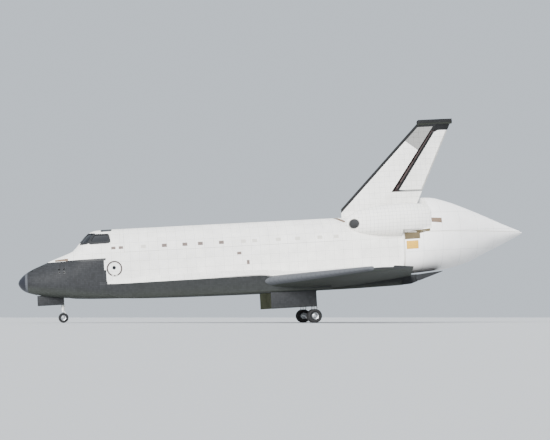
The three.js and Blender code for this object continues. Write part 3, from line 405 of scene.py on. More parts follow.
def spun(profile, centre, axis=(0, 1, 0), steps=64):
    """A turned body: a profile of (radius, along) swept once round an axis, its doubles merged."""
    bm = bmesh.new()
    axis = Vector(axis).normalized()
    out = axis.orthogonal().normalized()
    verts = [bm.verts.new(Vector(centre) + out * r + axis * a) for r, a in profile]
    edges = [bm.edges.new(pair) for pair in zip(verts, verts[1:])]
    bmesh.ops.spin(
        bm, geom=verts + edges, cent=centre, axis=axis, dvec=(0, 0, 0), angle=2 * math.pi,
        steps=steps, use_merge=True, use_duplicate=False,
    )
    bmesh.ops.remove_doubles(bm, verts=bm.verts, dist=1e-4)
    bmesh.ops.holes_fill(bm, edges=[e for e in bm.edges if e.is_boundary], sides=0)
    bmesh.ops.recalc_face_normals(bm, faces=bm.faces)
    return made(bm)


def slab(outline, y0, y1, bevel=0.0):
    """A plate drawn in x and z, from y0 to y1."""
    bm = bmesh.new()
    face = bm.faces.new([bm.verts.new((x, y0, z)) for x, z in outline])
    sides = bmesh.ops.extrude_face_region(bm, geom=[face])
    far = [v for v in sides["geom"] if isinstance(v, bmesh.types.BMVert)]
    bmesh.ops.translate(bm, verts=far, vec=(0, y1 - y0, 0))
    bmesh.ops.recalc_face_normals(bm, faces=bm.faces)
    if bevel:
        bmesh.ops.bevel(
            bm, geom=bm.edges[:], offset=bevel, affect="EDGES", segments=2, profile=0.5, material=-1)
    return made(bm)


def cut(body, *tools, how="DIFFERENCE"):
    """Cuts or joins bodies, and takes the tools away."""
    for tool in tools:
        step = body.modifiers.new("cut", "BOOLEAN")
        step.operation = how
        step.solver = "MANIFOLD"
        step.object = tool
        bpy.context.view_layer.update()
        applied(body)
        if not body.data.polygons:
            raise RuntimeError(f"nothing is left of {body.name} after a cut")
        bpy.data.objects.remove(tool)
    return body


def within(body, tool):
    """What of a body lies inside a tool."""
    return cut(body, tool, how="INTERSECT")


def applied(obj):
    """Leaves a body as its modifiers make it."""
    graph = bpy.context.evaluated_depsgraph_get()
    obj.data = bpy.data.meshes.new_from_object(obj.evaluated_get(graph))
    obj.modifiers.clear()


def dropped(*bodies):
    """Takes bodies away that only served to shape others."""
    for obj in bodies:
        bpy.data.objects.remove(obj)


def copied(obj, mirror=False):
    """A copy of a body, mirrored to the other side if asked."""
    new = obj.copy()
    new.data = obj.data.copy()
    bpy.context.scene.collection.objects.link(new)
    if mirror:
        new.data.transform(Matrix.Scale(-1, 4, (0, 1, 0)))
        new.data.flip_normals()
    return new


def joined(bodies):
    """Several bodies as one object, left as separate shells."""
    bm = bmesh.new()
    for obj in bodies:
        bm.from_mesh(obj.data)
    dropped(*bodies)
    return made(bm)


def skin_strip(table, x0, x1, proud):
    """A thin shell that follows a body between two stations, a little proud of it."""
    return cut(body_skin(table, x0, x1, -proud), body_skin(table, x0 - 1, x1 + 1, 0.4))


def patches(x0, x1, proud, *outlines):
    """Thin covers on the hull between two stations, drawn from the side and laid on both flanks."""
    return within(skin_strip(HULL, x0, x1, proud), joined([slab(o, *ACROSS_HULL) for o in outlines]))


def on_body(table, x, z, side):
    """The point of a body at a station and a height, and the way it faces there."""

    def point(px, pz):
        """The skin at a station and a height."""
        w, top, bottom, wide, above, below = eased(table, px)
        reach, power = (top - wide, above) if pz >= wide else (wide - bottom, below)
        return Vector((px, side * w * max(0.0, 1 - abs((pz - wide) / reach) ** power) ** (1 / power), pz))

    here = point(x, z)
    along, up = point(x + 0.5, z) - point(x - 0.5, z), point(x, z + 0.5) - point(x, z - 0.5)
    return here, along.cross(up).normalized() * (-side if along.cross(up).y < 0 else side)


def tube(points, radius):
    """A thin bent line through points, such as a brake line."""
    return joined([bar(a, b, radius, sides=10) for a, b in zip(points, points[1:])])


def shifted(obj, place):
    """Moves a body by craft inches."""
    obj.data.transform(Matrix.Translation(place))
    return obj


def piece(obj, name, material, slot, *stands_for, body="airframe", smooth=32.0, placed=False):
    """Puts a finished body in its place: named, in metres, shaded, painted, riding on its CAD body
    and standing for the CAD nodes that it replaces."""
    obj.name = name
    obj.data.name = name
    if not placed:
        obj.data.transform(CRAFT)
    paint(obj, material)
    obj.data.shade_smooth()
    obj.data.set_sharp_from_angle(angle=math.radians(smooth))
    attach(obj, body)
    if stands_for:
        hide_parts(*stands_for)


def paint(obj, material):
    """Gives a piece or a CAD node its finish."""
    obj.data.materials.clear()
    obj.data.materials.append(bpy.data.materials[material])


# Finishes. A MapRange node takes a value, then the value's two ends and the two that they become


STAIN = 45  # inches across one soft stain
TILE, TILE_SEAM, BLACK_SEAM = 6.0, 0.1, 0.16  # the seams are drawn twice as wide, so that they show
BLANKET_SEAM = 0.3
QUILT_OTHER, FINE_OTHER, BLACK_OTHER = 0.955, (0.965, 0.965, 0.96), 1.45  # each pattern's other tone
LYING = 0.66  # a face that lies flatter than this takes its squares from above, others from the side


def squares(tree, drawn, size, seam, tone, other):
    """A square pattern of a size in inches: each square takes a tone of its own between two, with a
    soft stain over them all. Returns the colour and the seams' mask."""
    laid = put(
        tree, "TexBrick", {"offset": 0.0, "squash": 1.0}, drawn, tone, other, shaded(tone, 0.5),
        Scale=1.0, Mortar_Size=seam, Mortar_Smooth=0.3, Bias=0.0, Brick_Width=size, Row_Height=size,
    )
    stain = put(tree, "TexNoise", None, drawn, Scale=1 / STAIN, Detail=5.0, Roughness=0.62)
    wash = put(tree, "MapRange", None, stain.outputs["Fac"], 0.3, 0.75, 1.03, 0.92)
    toned = put(tree, "VectorMath", "SCALE", laid.outputs["Color"], Scale=wash.outputs[0])
    return toned, laid.outputs["Fac"]


def tile_finish(name, field, blanket=30.0, soot=1.0):
    """Silica tiles, 6 in square and laid by hand, off-white or sooty black, under quilted blankets
    where the craft stays cooler. The eye sees a matt skin with a fine square pattern, each black
    tile a slightly different grey. The blankets' stitches, an inch apart, are too fine to show, so
    only the blankets' edges are drawn. field(tree, axes, facing) gives the mask of the black tiles."""
    look = bpy.context.scene.orbiter_finish
    tree, shader, craft, normal = started(name)
    axes = put(tree, "SeparateXYZ", None, craft).outputs
    facing = put(tree, "SeparateXYZ", None, normal).outputs
    level = put(tree, "Math", "ABSOLUTE", facing[2])
    flat = put(tree, "Math", "GREATER_THAN", level, LYING)
    across = put(tree, "Mix", {"data_type": "FLOAT"}, flat, axes[2], axes[1])
    drawn = put(tree, "CombineXYZ", None, axes[0], across)
    white, black = tuple(look.white_tile), tuple(c * soot for c in look.black_tile)
    quilt, quilt_seams = squares(tree, drawn, blanket, BLANKET_SEAM, white, shaded(white, QUILT_OTHER))
    fine, _ = squares(tree, drawn, TILE, TILE_SEAM, (1, 1, 1), FINE_OTHER)
    above = put(tree, "Mix", {"data_type": "RGBA", "blend_type": "MULTIPLY"}, 0.7, quilt, fine)
    dark, dark_seams = squares(tree, drawn, TILE, BLACK_SEAM, black, shaded(black, BLACK_OTHER))
    # Painted light: faces that look down are lightened from the black towards a pale olive, as if lit from
    # below by light thrown up off the ground
    under = put(tree, "MapRange", None, facing[2], -0.1, -0.85, 0.0, 1.0)
    black_with_painted_light = put(tree, "Mix", {"data_type": "RGBA", "blend_type": "ADD"}, under, dark, linear("#34372F"))
    mask = field(tree, axes, facing)
    base = put(tree, "Mix", {"data_type": "RGBA"}, mask, above, black_with_painted_light)
    tree.links.new(base.outputs[2], shader.inputs["Base Color"])
    shader.inputs["Roughness"].default_value = 0.62
    shader.inputs["Specular IOR Level"].default_value = 0.22
    seams = put(tree, "Mix", {"data_type": "FLOAT"}, mask, quilt_seams, dark_seams)
    bump = put(tree, "Bump", {"invert": True}, Height=seams, Strength=0.45, Distance=0.004)
    tree.links.new(bump.outputs[0], shader.inputs["Normal"])


# The black area's edge on the hull: two stations, and its heights at them
NOSE_LINE = (296.0, 336.0, 470.0, 400.0)
REAR_LINE = (510.0, 522.0, 404.0, 320.0)
WING_UP, GLOVE_BLACK = 0.3, 524.0  # a wing's face that looks up by less is black, and all ahead of this


def hull_field(tree, axes, facing):
    """Black ahead of station 300, then below a line that falls just ahead of the side hatch to the
    chine. Each tile is one colour, so the line runs in steps."""
    x = put(tree, "Math", "SNAP", axes[0], TILE)
    z = put(tree, "Math", "SNAP", axes[2], TILE)
    nose = put(tree, "MapRange", None, x, *NOSE_LINE)
    rear = put(tree, "MapRange", None, x, *REAR_LINE)
    line = put(tree, "Math", "MINIMUM", nose, rear)
    return put(tree, "Math", "LESS_THAN", z, line)


def wing_field(tree, axes, facing):
    """Black on every surface that faces down or forward and round the glove's front, white above."""
    down = put(tree, "Math", "LESS_THAN", facing[2], WING_UP)
    front = put(tree, "Math", "LESS_THAN", axes[0], GLOVE_BLACK)
    return put(tree, "Math", "MAXIMUM", down, front)


def flap_field(tree, axes, facing):
    """The body flap and the gear doors are black all over: no face looks up by more than 1."""
    return put(tree, "Math", "LESS_THAN", facing[2], 2.0)


CAP_FOOT, EDGE_WIDTH = 791, 13  # the fin's black cap starts here, and its dark edge is this wide
LIP_LEAN, LIP_START = 0.7239, 1060.3  # the line ahead of the rudder where the dark lip starts
PATCH_LEAN, PATCH_FOOT, PATCH_GREY = 0.45, 752, 0.74  # the sloping foot of the grey patch


def fin_field(tree, axes, facing):
    """The fin's black cap, its dark leading edge, the dark lip beside the rudder and the grey patch
    under the cap."""
    lead = FIN_LEAD - FIN_ROOT_Z
    lean = put(tree, "Math", "SUBTRACT", axes[0], axes[2])
    cap = put(tree, "Math", "GREATER_THAN", axes[2], CAP_FOOT)
    edge = put(tree, "Math", "LESS_THAN", lean, lead + EDGE_WIDTH)
    along_lip = put(tree, "Math", "MULTIPLY_ADD", axes[2], -LIP_LEAN, axes[0])
    behind = put(tree, "Math", "GREATER_THAN", along_lip, LIP_START)
    low = put(tree, "Math", "GREATER_THAN", axes[2], RUDDER_BOTTOM - 1)
    lip = put(tree, "Math", "MULTIPLY", behind, low)
    slope = put(tree, "Math", "MULTIPLY_ADD", lean, PATCH_LEAN, axes[2])
    patch = put(tree, "Math", "GREATER_THAN", slope, PATCH_FOOT + PATCH_LEAN * lead)
    mask = cap
    for part in (edge, lip, put(tree, "Math", "MULTIPLY", patch, PATCH_GREY)):
        mask = put(tree, "Math", "MAXIMUM", mask, part)
    return mask


STRIP_LEAN, STRIP_END = 0.696, 1099.5  # the line behind the hinge where the dark strip ends
REAR_LEAN, REAR_START = 0.493, 1294.5  # the line where the grey rear edge starts
FOOT_STRIP, SOFT_GREY = 5, 0.6  # height of the strip along the foot, and how dark it and the rear edge are


def rudder_field(tree, axes, facing):
    """White panels with a dark strip along the hinge, one along the foot, and a grey rear edge."""
    leaned = put(tree, "Math", "MULTIPLY_ADD", axes[2], -STRIP_LEAN, axes[0])
    front = put(tree, "Math", "LESS_THAN", leaned, STRIP_END)
    foot = put(tree, "Math", "LESS_THAN", axes[2], RUDDER_BOTTOM + FOOT_STRIP)
    swept = put(tree, "Math", "MULTIPLY_ADD", axes[2], -REAR_LEAN, axes[0])
    rear = put(tree, "Math", "GREATER_THAN", swept, REAR_START)
    soft = put(tree, "Math", "MAXIMUM", foot, rear)
    half = put(tree, "Math", "MULTIPLY", soft, SOFT_GREY)
    return put(tree, "Math", "MAXIMUM", front, half)


def grained_finish(name, colour, roughness, metal=0.0, mottle=0.1, scale=8.0, stripes=None):
    """A painted, rubber, film or metal surface: soft stains in its colour, a finer grain in its
    gloss, and a slight unevenness that breaks up the highlight. stripes gives an axis, a pitch and
    a width in inches for the joints between like panels."""
    tree, shader, craft, _ = started(name)
    stain = put(tree, "TexNoise", None, craft, Scale=1 / scale, Detail=5.0, Roughness=0.6)
    dark, light = shaded(colour, 1 - 1.8 * mottle), shaded(colour, 1 + mottle)
    tone = put(tree, "Mix", {"data_type": "RGBA"}, stain.outputs["Fac"], dark, light)
    grain = put(tree, "TexNoise", None, craft, Scale=2.2, Detail=3.0)
    height = grain.outputs["Fac"]
    if stripes:
        axis, pitch, width = stripes
        axes = put(tree, "SeparateXYZ", None, craft).outputs
        phase = put(tree, "Math", "PINGPONG", axes[axis], pitch / 2)
        joint = put(tree, "MapRange", None, phase, width / 2, width, 1.0, 0.0)
        seam = shaded(colour, 0.25)
        tone = put(tree, "Mix", {"data_type": "RGBA"}, joint.outputs[0], tone.outputs[2], seam)
        sunk = put(tree, "Math", "MULTIPLY_ADD", joint, -4.0, height)
        height = sunk.outputs[0]
    tree.links.new(tone.outputs[2], shader.inputs["Base Color"])
    gloss = put(tree, "MapRange", None, grain.outputs["Fac"], 0.3, 0.7, roughness - 0.06, roughness + 0.08)
    tree.links.new(gloss.outputs[0], shader.inputs["Roughness"])
    bump = put(tree, "Bump", None, Height=height, Strength=0.1, Distance=0.002)
    tree.links.new(bump.outputs[0], shader.inputs["Normal"])
    shader.inputs["Metallic"].default_value = metal


def sheet_finish(name, colour, ring, roughness):
    """Aluminium sheet riveted in rings and sprayed gloss white, or a smooth quilt of blankets: near
    white, with thin joints each ring pitch, faint rain streaks that run down, and a soft highlight."""
    tree, shader, craft, _ = started(name)
    axes = put(tree, "SeparateXYZ", None, craft).outputs
    drawn = put(tree, "CombineXYZ", None, axes[0], axes[2])
    panels, seams = squares(tree, drawn, ring, 0.35, colour, shaded(colour, 0.975))
    squeezed = put(tree, "Mapping", {"vector_type": "POINT"}, craft, (0, 0, 0), (0, 0, 0), (1, 1, 0.12))
    streak = put(tree, "TexNoise", None, squeezed, Scale=1 / 9, Detail=4.0)
    run = put(tree, "MapRange", None, streak.outputs["Fac"], 0.5, 0.8, 1.0, 0.94)
    base = put(tree, "VectorMath", "SCALE", panels, Scale=run.outputs[0])
    tree.links.new(base.outputs[0], shader.inputs["Base Color"])
    shader.inputs["Roughness"].default_value = roughness
    bump = put(tree, "Bump", {"invert": True}, Height=seams, Strength=0.3, Distance=0.003)
    tree.links.new(bump.outputs[0], shader.inputs["Normal"])


def glass_finish():
    """Aluminosilicate panes coated against glare: near black from outside, with a clear sharp
    highlight and a faint blue cast from the coating."""
    tree, shader, craft, _ = started("coated window glass")
    haze = put(tree, "TexNoise", None, craft, Scale=0.12, Detail=3.0)
    clear, cloudy = linear("#07090D"), linear("#12161E")
    tone = put(tree, "Mix", {"data_type": "RGBA"}, haze.outputs["Fac"], clear, cloudy)
    tree.links.new(tone.outputs[2], shader.inputs["Base Color"])
    shader.inputs["Roughness"].default_value = 0.05
    shader.inputs["Transmission Weight"].default_value = 0.3
    shader.inputs["IOR"].default_value = 1.52


GRAINED = (
    # name, colour, roughness, metallic, mottle, stain size in inches, joints (axis, pitch, width)
    # Carbon cloth baked hard in moulded panels: a dull mid grey edge with a joint at each panel
    ("reinforced carbon of the wing edge", "#4C4E52", 0.5, 0, 0.1, 9, (1, 13.0, 0.5)),
    # The same, fired and glazed in one piece: near black with a cold cast and a soft sheen
    ("reinforced carbon of the nose cap", "#14161F", 0.42, 0, 0.15, 7, None),
    # Woven ceramic rope pressed into the joint: a paler, duller ring behind the cap
    ("nose cap seal ring", "#45474C", 0.55, 0, 0.15, 7, None),
    # Silica tiles glazed black: a deep matt band that frames the glass
    ("black window tile", "#121316", 0.6, 0, 0.12, 6, None),
    # Aluminium sprayed with primer: the flat grey-green of an airframe's hidden side
    ("green zinc primer", "#84876B", 0.55, 0, 0.1, 14, None),
    # Steel and aluminium sprayed with enamel: clean off-white legs with a soft gloss
    ("white gear enamel", "#E4E3DC", 0.35, 0, 0.07, 10, None),
    # Sheet metal painted to cut glare: a quiet, even grey behind the glass
    ("cabin grey enamel", "#6F7376", 0.6, 0, 0.08, 12, None),
    # Woven nylon over foam: dull slate pads that take no highlight
    ("grey seat webbing", "#3B3F46", 0.85, 0, 0.15, 2, None),
    # Woven nylon harness: a dark red brown line that stands out on the pads
    ("dark strap webbing", "#3A1F1C", 0.85, 0, 0.15, 1.5, None),
    # Felt glued over access panels, toasted by heat: uneven warm brown patches
    ("brown thermal cover", "#705C4B", 0.7, 0, 0.2, 10, None),
    # The same over the door hinges, weathered: small taupe squares in a row
    ("hinge cover grey", "#6E615B", 0.7, 0, 0.2, 6, None),
    # Polyimide film backed with metal: one bright amber spot with a broken glint
    ("gold insulation film", "#CF9F2C", 0.4, 0.25, 0.2, 6, None),
    # Fibre blanket stained by use: a dull olive brown between white sheets
    ("olive blanket", "#5C5036", 0.8, 0, 0.2, 10, None),
    # Nickel alloy leaves darkened by heat: a brown black line with a faint glint. In the fin's cove the same
    # dark also stands for painted shade
    ("dark hinge seal", "#2C1A18", 0.6, 0.2, 0.15, 8, None),
    # Moulded rubber: charcoal, matt, with paler scuffs
    ("tyre rubber", "#1B1B1C", 0.85, 0, 0.2, 5, None),
    # Ground and oiled: a cool grey with clear, slightly broken reflections
    ("ground steel", "#8F9396", 0.28, 1, 0.08, 6, None),
    # Plated and polished: a mirror on the pistons that dims where seals have wiped it
    ("hard chrome", "#C9CCCE", 0.12, 1, 0.04, 6, None),
    # Forged and shot peened: a pale satin metal
    ("forged aluminium", "#B9BBBD", 0.35, 1, 0.08, 6, None),
    # Silvered film laid in strips: a bright mirror cut by a dark joint at each strip
    ("radiator silver film", "#D4D6D8", 0.2, 0.9, 0.05, 16, (0, 37.5, 0.6)),
    # Dyed oxide on machined metal: a hard black with a small sheen
    ("black anodised fitting", "#141517", 0.4, 0.2, 0.1, 6, None),
    # Coated glass cloth on the bay's walls: soft white panels with a dark joint between
    ("white glass-fibre liner", "#D9D8D0", 0.85, 0, 0.08, 12, (0, 28.0, 0.5)),
    # Painted metal strip over a joint: a cream line a little warmer than the skin
    ("pale joint strip", "#CFCBC2", 0.5, 0, 0.1, 12, None),
)


def build_finishes():
    """Every material of the craft."""
    look = bpy.context.scene.orbiter_finish
    tile_finish("silica tiles of the hull", hull_field)
    tile_finish("silica tiles of the wing", wing_field, blanket=24.0)
    tile_finish("silica tiles of the body flap", flap_field)
    tile_finish("silica tiles of the fin", fin_field, blanket=18.0, soot=0.3)
    tile_finish("silica tiles of the rudder", rudder_field, blanket=18.0, soot=0.3)
    sheet_finish("white sprayed sheet", tuple(look.cone_white), 62.0, 0.36)
    sheet_finish("quilted blanket of the pods", tuple(look.white_tile), 12.0, 0.75)
    for name, colour, *values in GRAINED:
        grained_finish(name, linear(colour), *values)
    glass_finish()


class OrbiterSizes(PropertyGroup):
    """Sizes that a user would change, in inches of the real craft."""

    around: IntProperty(
        name="Points around", default=96, min=32, max=256,
        description="Points round one hull section",
    )
    station_step: FloatProperty(
        name="Station step", default=16.0, min=4,
        description="Most inches between two hull rings",
    )
    frame_width: FloatProperty(
        name="Window surround", default=4.0,
        description="Width of the black surround, in degrees seen from the seats",
    )
    frame_height: FloatProperty(
        name="Surround height", default=0.35,
        description="How far the surround stands proud, in inches",
    )
    tyre_grooves: IntProperty(
        name="Tyre grooves", default=4, min=1, max=8,
        description="Grooves round a main tyre",
    )


class OrbiterFinish(PropertyGroup):
    """Colours that a user would change, linear."""

    white_tile: FloatVectorProperty(
        name="White tile", subtype="COLOR", default=linear("#F7F5F0"),
        description="Tiles and blankets above",
    )
    black_tile: FloatVectorProperty(
        name="Black tile", subtype="COLOR", default=linear("#232426"),
        description="Tiles below and round the nose",
    )
    cone_white: FloatVectorProperty(
        name="Cone white", subtype="COLOR", default=linear("#FCFAF8"),
        description="Paint of the tail cone",
    )
    floor: FloatVectorProperty(
        name="Floor", subtype="COLOR", default=linear("#AEB0B2"),
        description="Floor of the studio",
    )


class OrbiterStage(PropertyGroup):
    """Where the camera stands, and how bright the studio is."""

    distance: FloatProperty(
        name="Distance", default=64.0, unit="LENGTH",
        description="From the camera to the craft's middle",
    )
    bearing: FloatProperty(
        name="Bearing", default=math.radians(6.5), subtype="ANGLE",
        description="How far ahead of abeam the camera stands",
    )
    lens: FloatProperty(
        name="Lens", default=100.0, unit="CAMERA",
        description="Focal length in millimetres",
    )
    brightness: FloatProperty(
        name="Brightness", default=1.0, min=0,
        description="Factor on the power of every studio light",
    )
    sky: FloatProperty(
        name="Sky", default=1.0, min=0,
        description="Strength of the even light from all round",
    )


# Pieces


def sight(bearing, rise, reach):
    """A point on a line of sight from the seats, by bearing from the nose and by rise."""
    b = math.radians(bearing)
    return EYE + Vector((-math.cos(b), math.sin(b), math.tan(math.radians(rise)))) * reach


def window_tool(pane, grow=0.0):
    """A wedge from the seats through one window, its outline a rectangle with round corners."""
    b0, b1, r0, r1 = pane
    half_b, half_r = (b1 - b0) / 2 + grow, (r1 - r0) / 2 + grow
    outline = [((b0 + b1) / 2 + a * half_b, (r0 + r1) / 2 + b * half_r)
               for a, b in round_points(40, WINDSHIELD_ROUND)]
    return made(lofted([[sight(b, r, reach) for b, r in outline] for reach in WINDSHIELD_REACH]))


def roof_tool(side, grow=0.0):
    """An upright tool through one overhead window, its outline a rectangle with round corners."""
    x, y, half_x, half_y = ROOF_PANE
    outline = [(x + a * (half_x + grow), side * y + b * (half_y + grow))
               for a, b in round_points(32, ROOF_ROUND)]
    return made(lofted([[Vector((*point, z)) for point in outline] for z in ROOF_REACH]))


def roof_tools(grow=0.0):
    """Both overhead windows, grown by degrees as the windshield's are."""
    return [roof_tool(side, grow * ROOF_DEGREE) for side, _ in SIDES]


def window_tools(grow=0.0):
    """All six windows of the windshield."""
    tools = [window_tool(pane, grow) for pane in WINDSHIELD]
    return tools + [copied(t, mirror=True) for t in tools]


def hatch_tool(radius, z=HATCH_Z, sides=64):
    """A round bar through the port flank at the hatch."""
    return bar((HATCH_X, -125, z), (HATCH_X, -80, z), radius, sides=sides)


def thruster_places():
    """Every nose thruster: its point on the hull, the way it faces and its radius."""
    return [(*on_body(HULL, x, z, side), r) for side, _ in SIDES for x, z, r in THRUSTERS]


class ORBITER_OT_hull(Operator):
    """Nose cap, its seal ring, and the forward fuselage with windows, hatch and thrusters cut in"""

    bl_idname = "orbiter.hull"
    bl_label = "Forward hull"

    def execute(self, context):
        cap = hull(NOSE_TIP, CAP_END)
        piece(cap, "nose_cap_shell", "reinforced carbon of the nose cap", "carbon", "nose_cap")
        ring = skin_strip(HULL, CAP_END - 0.5, CAP_END + 7, 0.12)
        piece(ring, "nose_cap_seal", "nose cap seal ring", "carbon")
        skin = hull(CAP_END + GAP, CABIN_END)
        x0, x1, y, top = NOSE_WELL
        cut(skin, hull(CABIN_FRONT, CABIN_END + 1, CABIN_WALL), block(x0, x1, -y, y, UNDER_HULL, top))
        cut(skin, *window_tools(), roof_tool(-1), roof_tool(1), hatch_tool(HATCH_RADIUS + 0.5))
        cups = []
        for place, facing, radius in thruster_places():
            cut(skin, bar(place - facing * 5, place + facing * 3, radius * 0.7, radius * 1.3))
            cups.append(spun([(r * radius, a) for r, a in THRUSTER_CUP], place, facing, 28))
        piece(skin, "forward_skin", "silica tiles of the hull", "tiles", "forward_fuselage")
        piece(joined(cups), "nose_thrusters", "black anodised fitting", "black_tiles")
        covers = patches(352, 410, 0.14, [(360, 403), (402, 403), (402, 411), (360, 409)])
        piece(covers, "nose_brown_covers", "brown thermal cover", "tiles")
        row = patches(380, 530, 0.1, rect(394, 522, 397, 404))
        piece(row, "nose_dark_row", "black window tile", "tiles")
        return {"FINISHED"}


class ORBITER_OT_windows(Operator):
    """Coated panes set into the hull, with raised black surrounds"""

    bl_idname = "orbiter.windows"
    bl_label = "Windows"

    def execute(self, context):
        sizes = context.scene.orbiter_sizes
        for name, tools, x0, x1 in (  # with the ends of the length of hull that they lie in
            ("windshield", window_tools, 418, 580),
            ("overhead", roof_tools, 480, 578),
        ):
            shell = cut(hull(x0, x1, PANE_FACE), hull(x0 - 1, x1 + 1, PANE_BACK))
            panes = within(shell, joined(tools(PANE_MARGIN)))
            piece(panes, name + "_panes", "coated window glass", "dark_glass", name + "_glass")
            rim = cut(hull(x0, x1, -sizes.frame_height), hull(x0 - 1, x1 + 1, SURROUND_FOOT))
            surround = joined([within(copied(rim), tool) for tool in tools(sizes.frame_width)])
            dropped(rim)
            cut(surround, *tools(-SURROUND_LIP))
            piece(surround, name + "_surround", "black window tile", "black_tiles")
        return {"FINISHED"}


class ORBITER_OT_hatch(Operator):
    """The round side hatch with its window and hinge, and the dark seal round it"""

    bl_idname = "orbiter.hatch"
    bl_label = "Side hatch"

    def execute(self, context):
        shell = cut(hull(HATCH_X - 40, HATCH_X + 40), hull(HATCH_X - 41, HATCH_X + 41, HATCH_WALL))
        within(shell, hatch_tool(HATCH_RADIUS))
        cut(shell, hatch_tool(PORTHOLE_RADIUS, PORTHOLE_Z, 40))
        y, z = HATCH_HINGE
        knuckles = [bar((HATCH_X + a, y, z), (HATCH_X + b, y, z), 1.5, bevel=0.2)
                    for a, b in ((-9, -2.5), (2.5, 9))]
        door = joined([shell, *knuckles])
        piece(door, "hatch_door", "silica tiles of the hull", "tiles", "side_hatch", body="side_hatch")
        r = PORTHOLE_RADIUS
        rim = spun([(r, -0.2), (6.6, -0.2), (6.6, 0.5), (r, 0.5), (r, -0.2)],
                   (HATCH_X, HATCH_FACE_Y, PORTHOLE_Z), (0, -1, 0), 40)
        piece(rim, "hatch_window_rim", "black window tile", "black_tiles", body="side_hatch")
        pane = spun([(0, 0), (5.6, 0), (5.6, 1.0), (0, 1.0)], (HATCH_X, HATCH_FACE_Y + 1, PORTHOLE_Z))
        piece(pane, "hatch_window", "coated window glass", "dark_glass", body="side_hatch")
        seal = within(skin_strip(HULL, HATCH_X - 30, HATCH_X + 30, 0.16), hatch_tool(25))
        cut(seal, hatch_tool(20.7), block(HATCH_X - 40, HATCH_X + 40, 0, 120, 300, 420))
        piece(seal, "hatch_seal", "dark hinge seal", "seal_metal")
        return {"FINISHED"}


def seat_pads(side, name):
    """One seat: a frame of bent plate, a cushion, a back, a headrest and two shoulder straps."""
    x, y, z = SEAT
    place = (x, y * side, z)
    bars = [slab(SEAT_SIDE, a, a + 1.2, 0.15) for a in (-8.4, 7.2)]
    bars.append(slab(rect(-8.6, 11, 11.2, 12.2), -8.2, 8.2, 0.2))
    seat_frame = shifted(joined(bars), place)
    piece(seat_frame, "seat_frame_" + name, "cabin grey enamel", "cabin_grey", "seat_" + name)
    for part, outline, half in SEAT_PADS:
        pad = shifted(slab(outline, -half, half, 0.7), place)
        pad.data.transform(CRAFT)
        puffed(pad)
        piece(pad, f"seat_{part}_{name}", "grey seat webbing", "seat_fabric", smooth=80, placed=True)
    straps = shifted(joined([slab(STRAP, a, a + 1.6) for a in (-4.2, 2.6)]), place)
    piece(straps, "seat_straps_" + name, "dark strap webbing", "seat_fabric")


def puffed(pad):
    """Swells a pad as its filling would, with its edges held by the seams' own length."""
    steps = PAD_FRAMES
    start = pad.modifiers.new("even mesh", "REMESH")
    start.mode = "VOXEL"
    start.voxel_size = PAD_VOXEL
    applied(pad)
    rest = [v.co.copy() for v in pad.data.vertices]
    cloth = pad.modifiers.new("filling", "CLOTH")
    cloth.settings.effector_weights.gravity = 0
    cloth.settings.use_pressure = True
    cloth.settings.uniform_pressure_force = PAD_PRESSURE
    cloth.point_cache.frame_start, cloth.point_cache.frame_end = 1, PAD_FRAMES
    for step in range(1, steps + 1):
        bpy.context.scene.frame_set(step)
    applied(pad)
    bpy.context.scene.frame_set(1)
    for vertex, co in zip(pad.data.vertices, rest):
        away = vertex.co - co
        if away.length > PAD_SWELL:
            vertex.co = co + away.normalized() * PAD_SWELL


class ORBITER_OT_cabin(Operator):
    """The cabin behind the glass: deck, panel with its screens, rear wall and two padded seats"""

    bl_idname = "orbiter.cabin"
    bl_label = "Cabin"

    def execute(self, context):
        for node in ("cabin_bulkhead", "flight_deck"):
            paint(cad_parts[node], "cabin grey enamel")
        screen = [(457.6, 419.5), (453.8, 436.5), (454.3, 436.6), (458.1, 419.6)]
        screens = joined([slab(screen, y - 5, y + 5, 0.2) for y in (-30, -15, 0, 15, 30)])
        piece(screens, "panel_screens", "coated window glass", "dark_glass")
        shade = slab(rect(440, 460, 443.2, 444.4), -44, 44, 0.4)
        piece(shade, "panel_shade", "black anodised fitting", "black_tiles")
        pane = rect(574.6, 575.4, 455.2, 476.8)
        panes = joined([slab(pane, s * 20 - 8.9, s * 20 + 8.9) for s, _ in SIDES])
        piece(panes, "rear_cabin_panes", "coated window glass", "dark_glass")
        for side, name in SIDES:
            seat_pads(side, name)
        return {"FINISHED"}


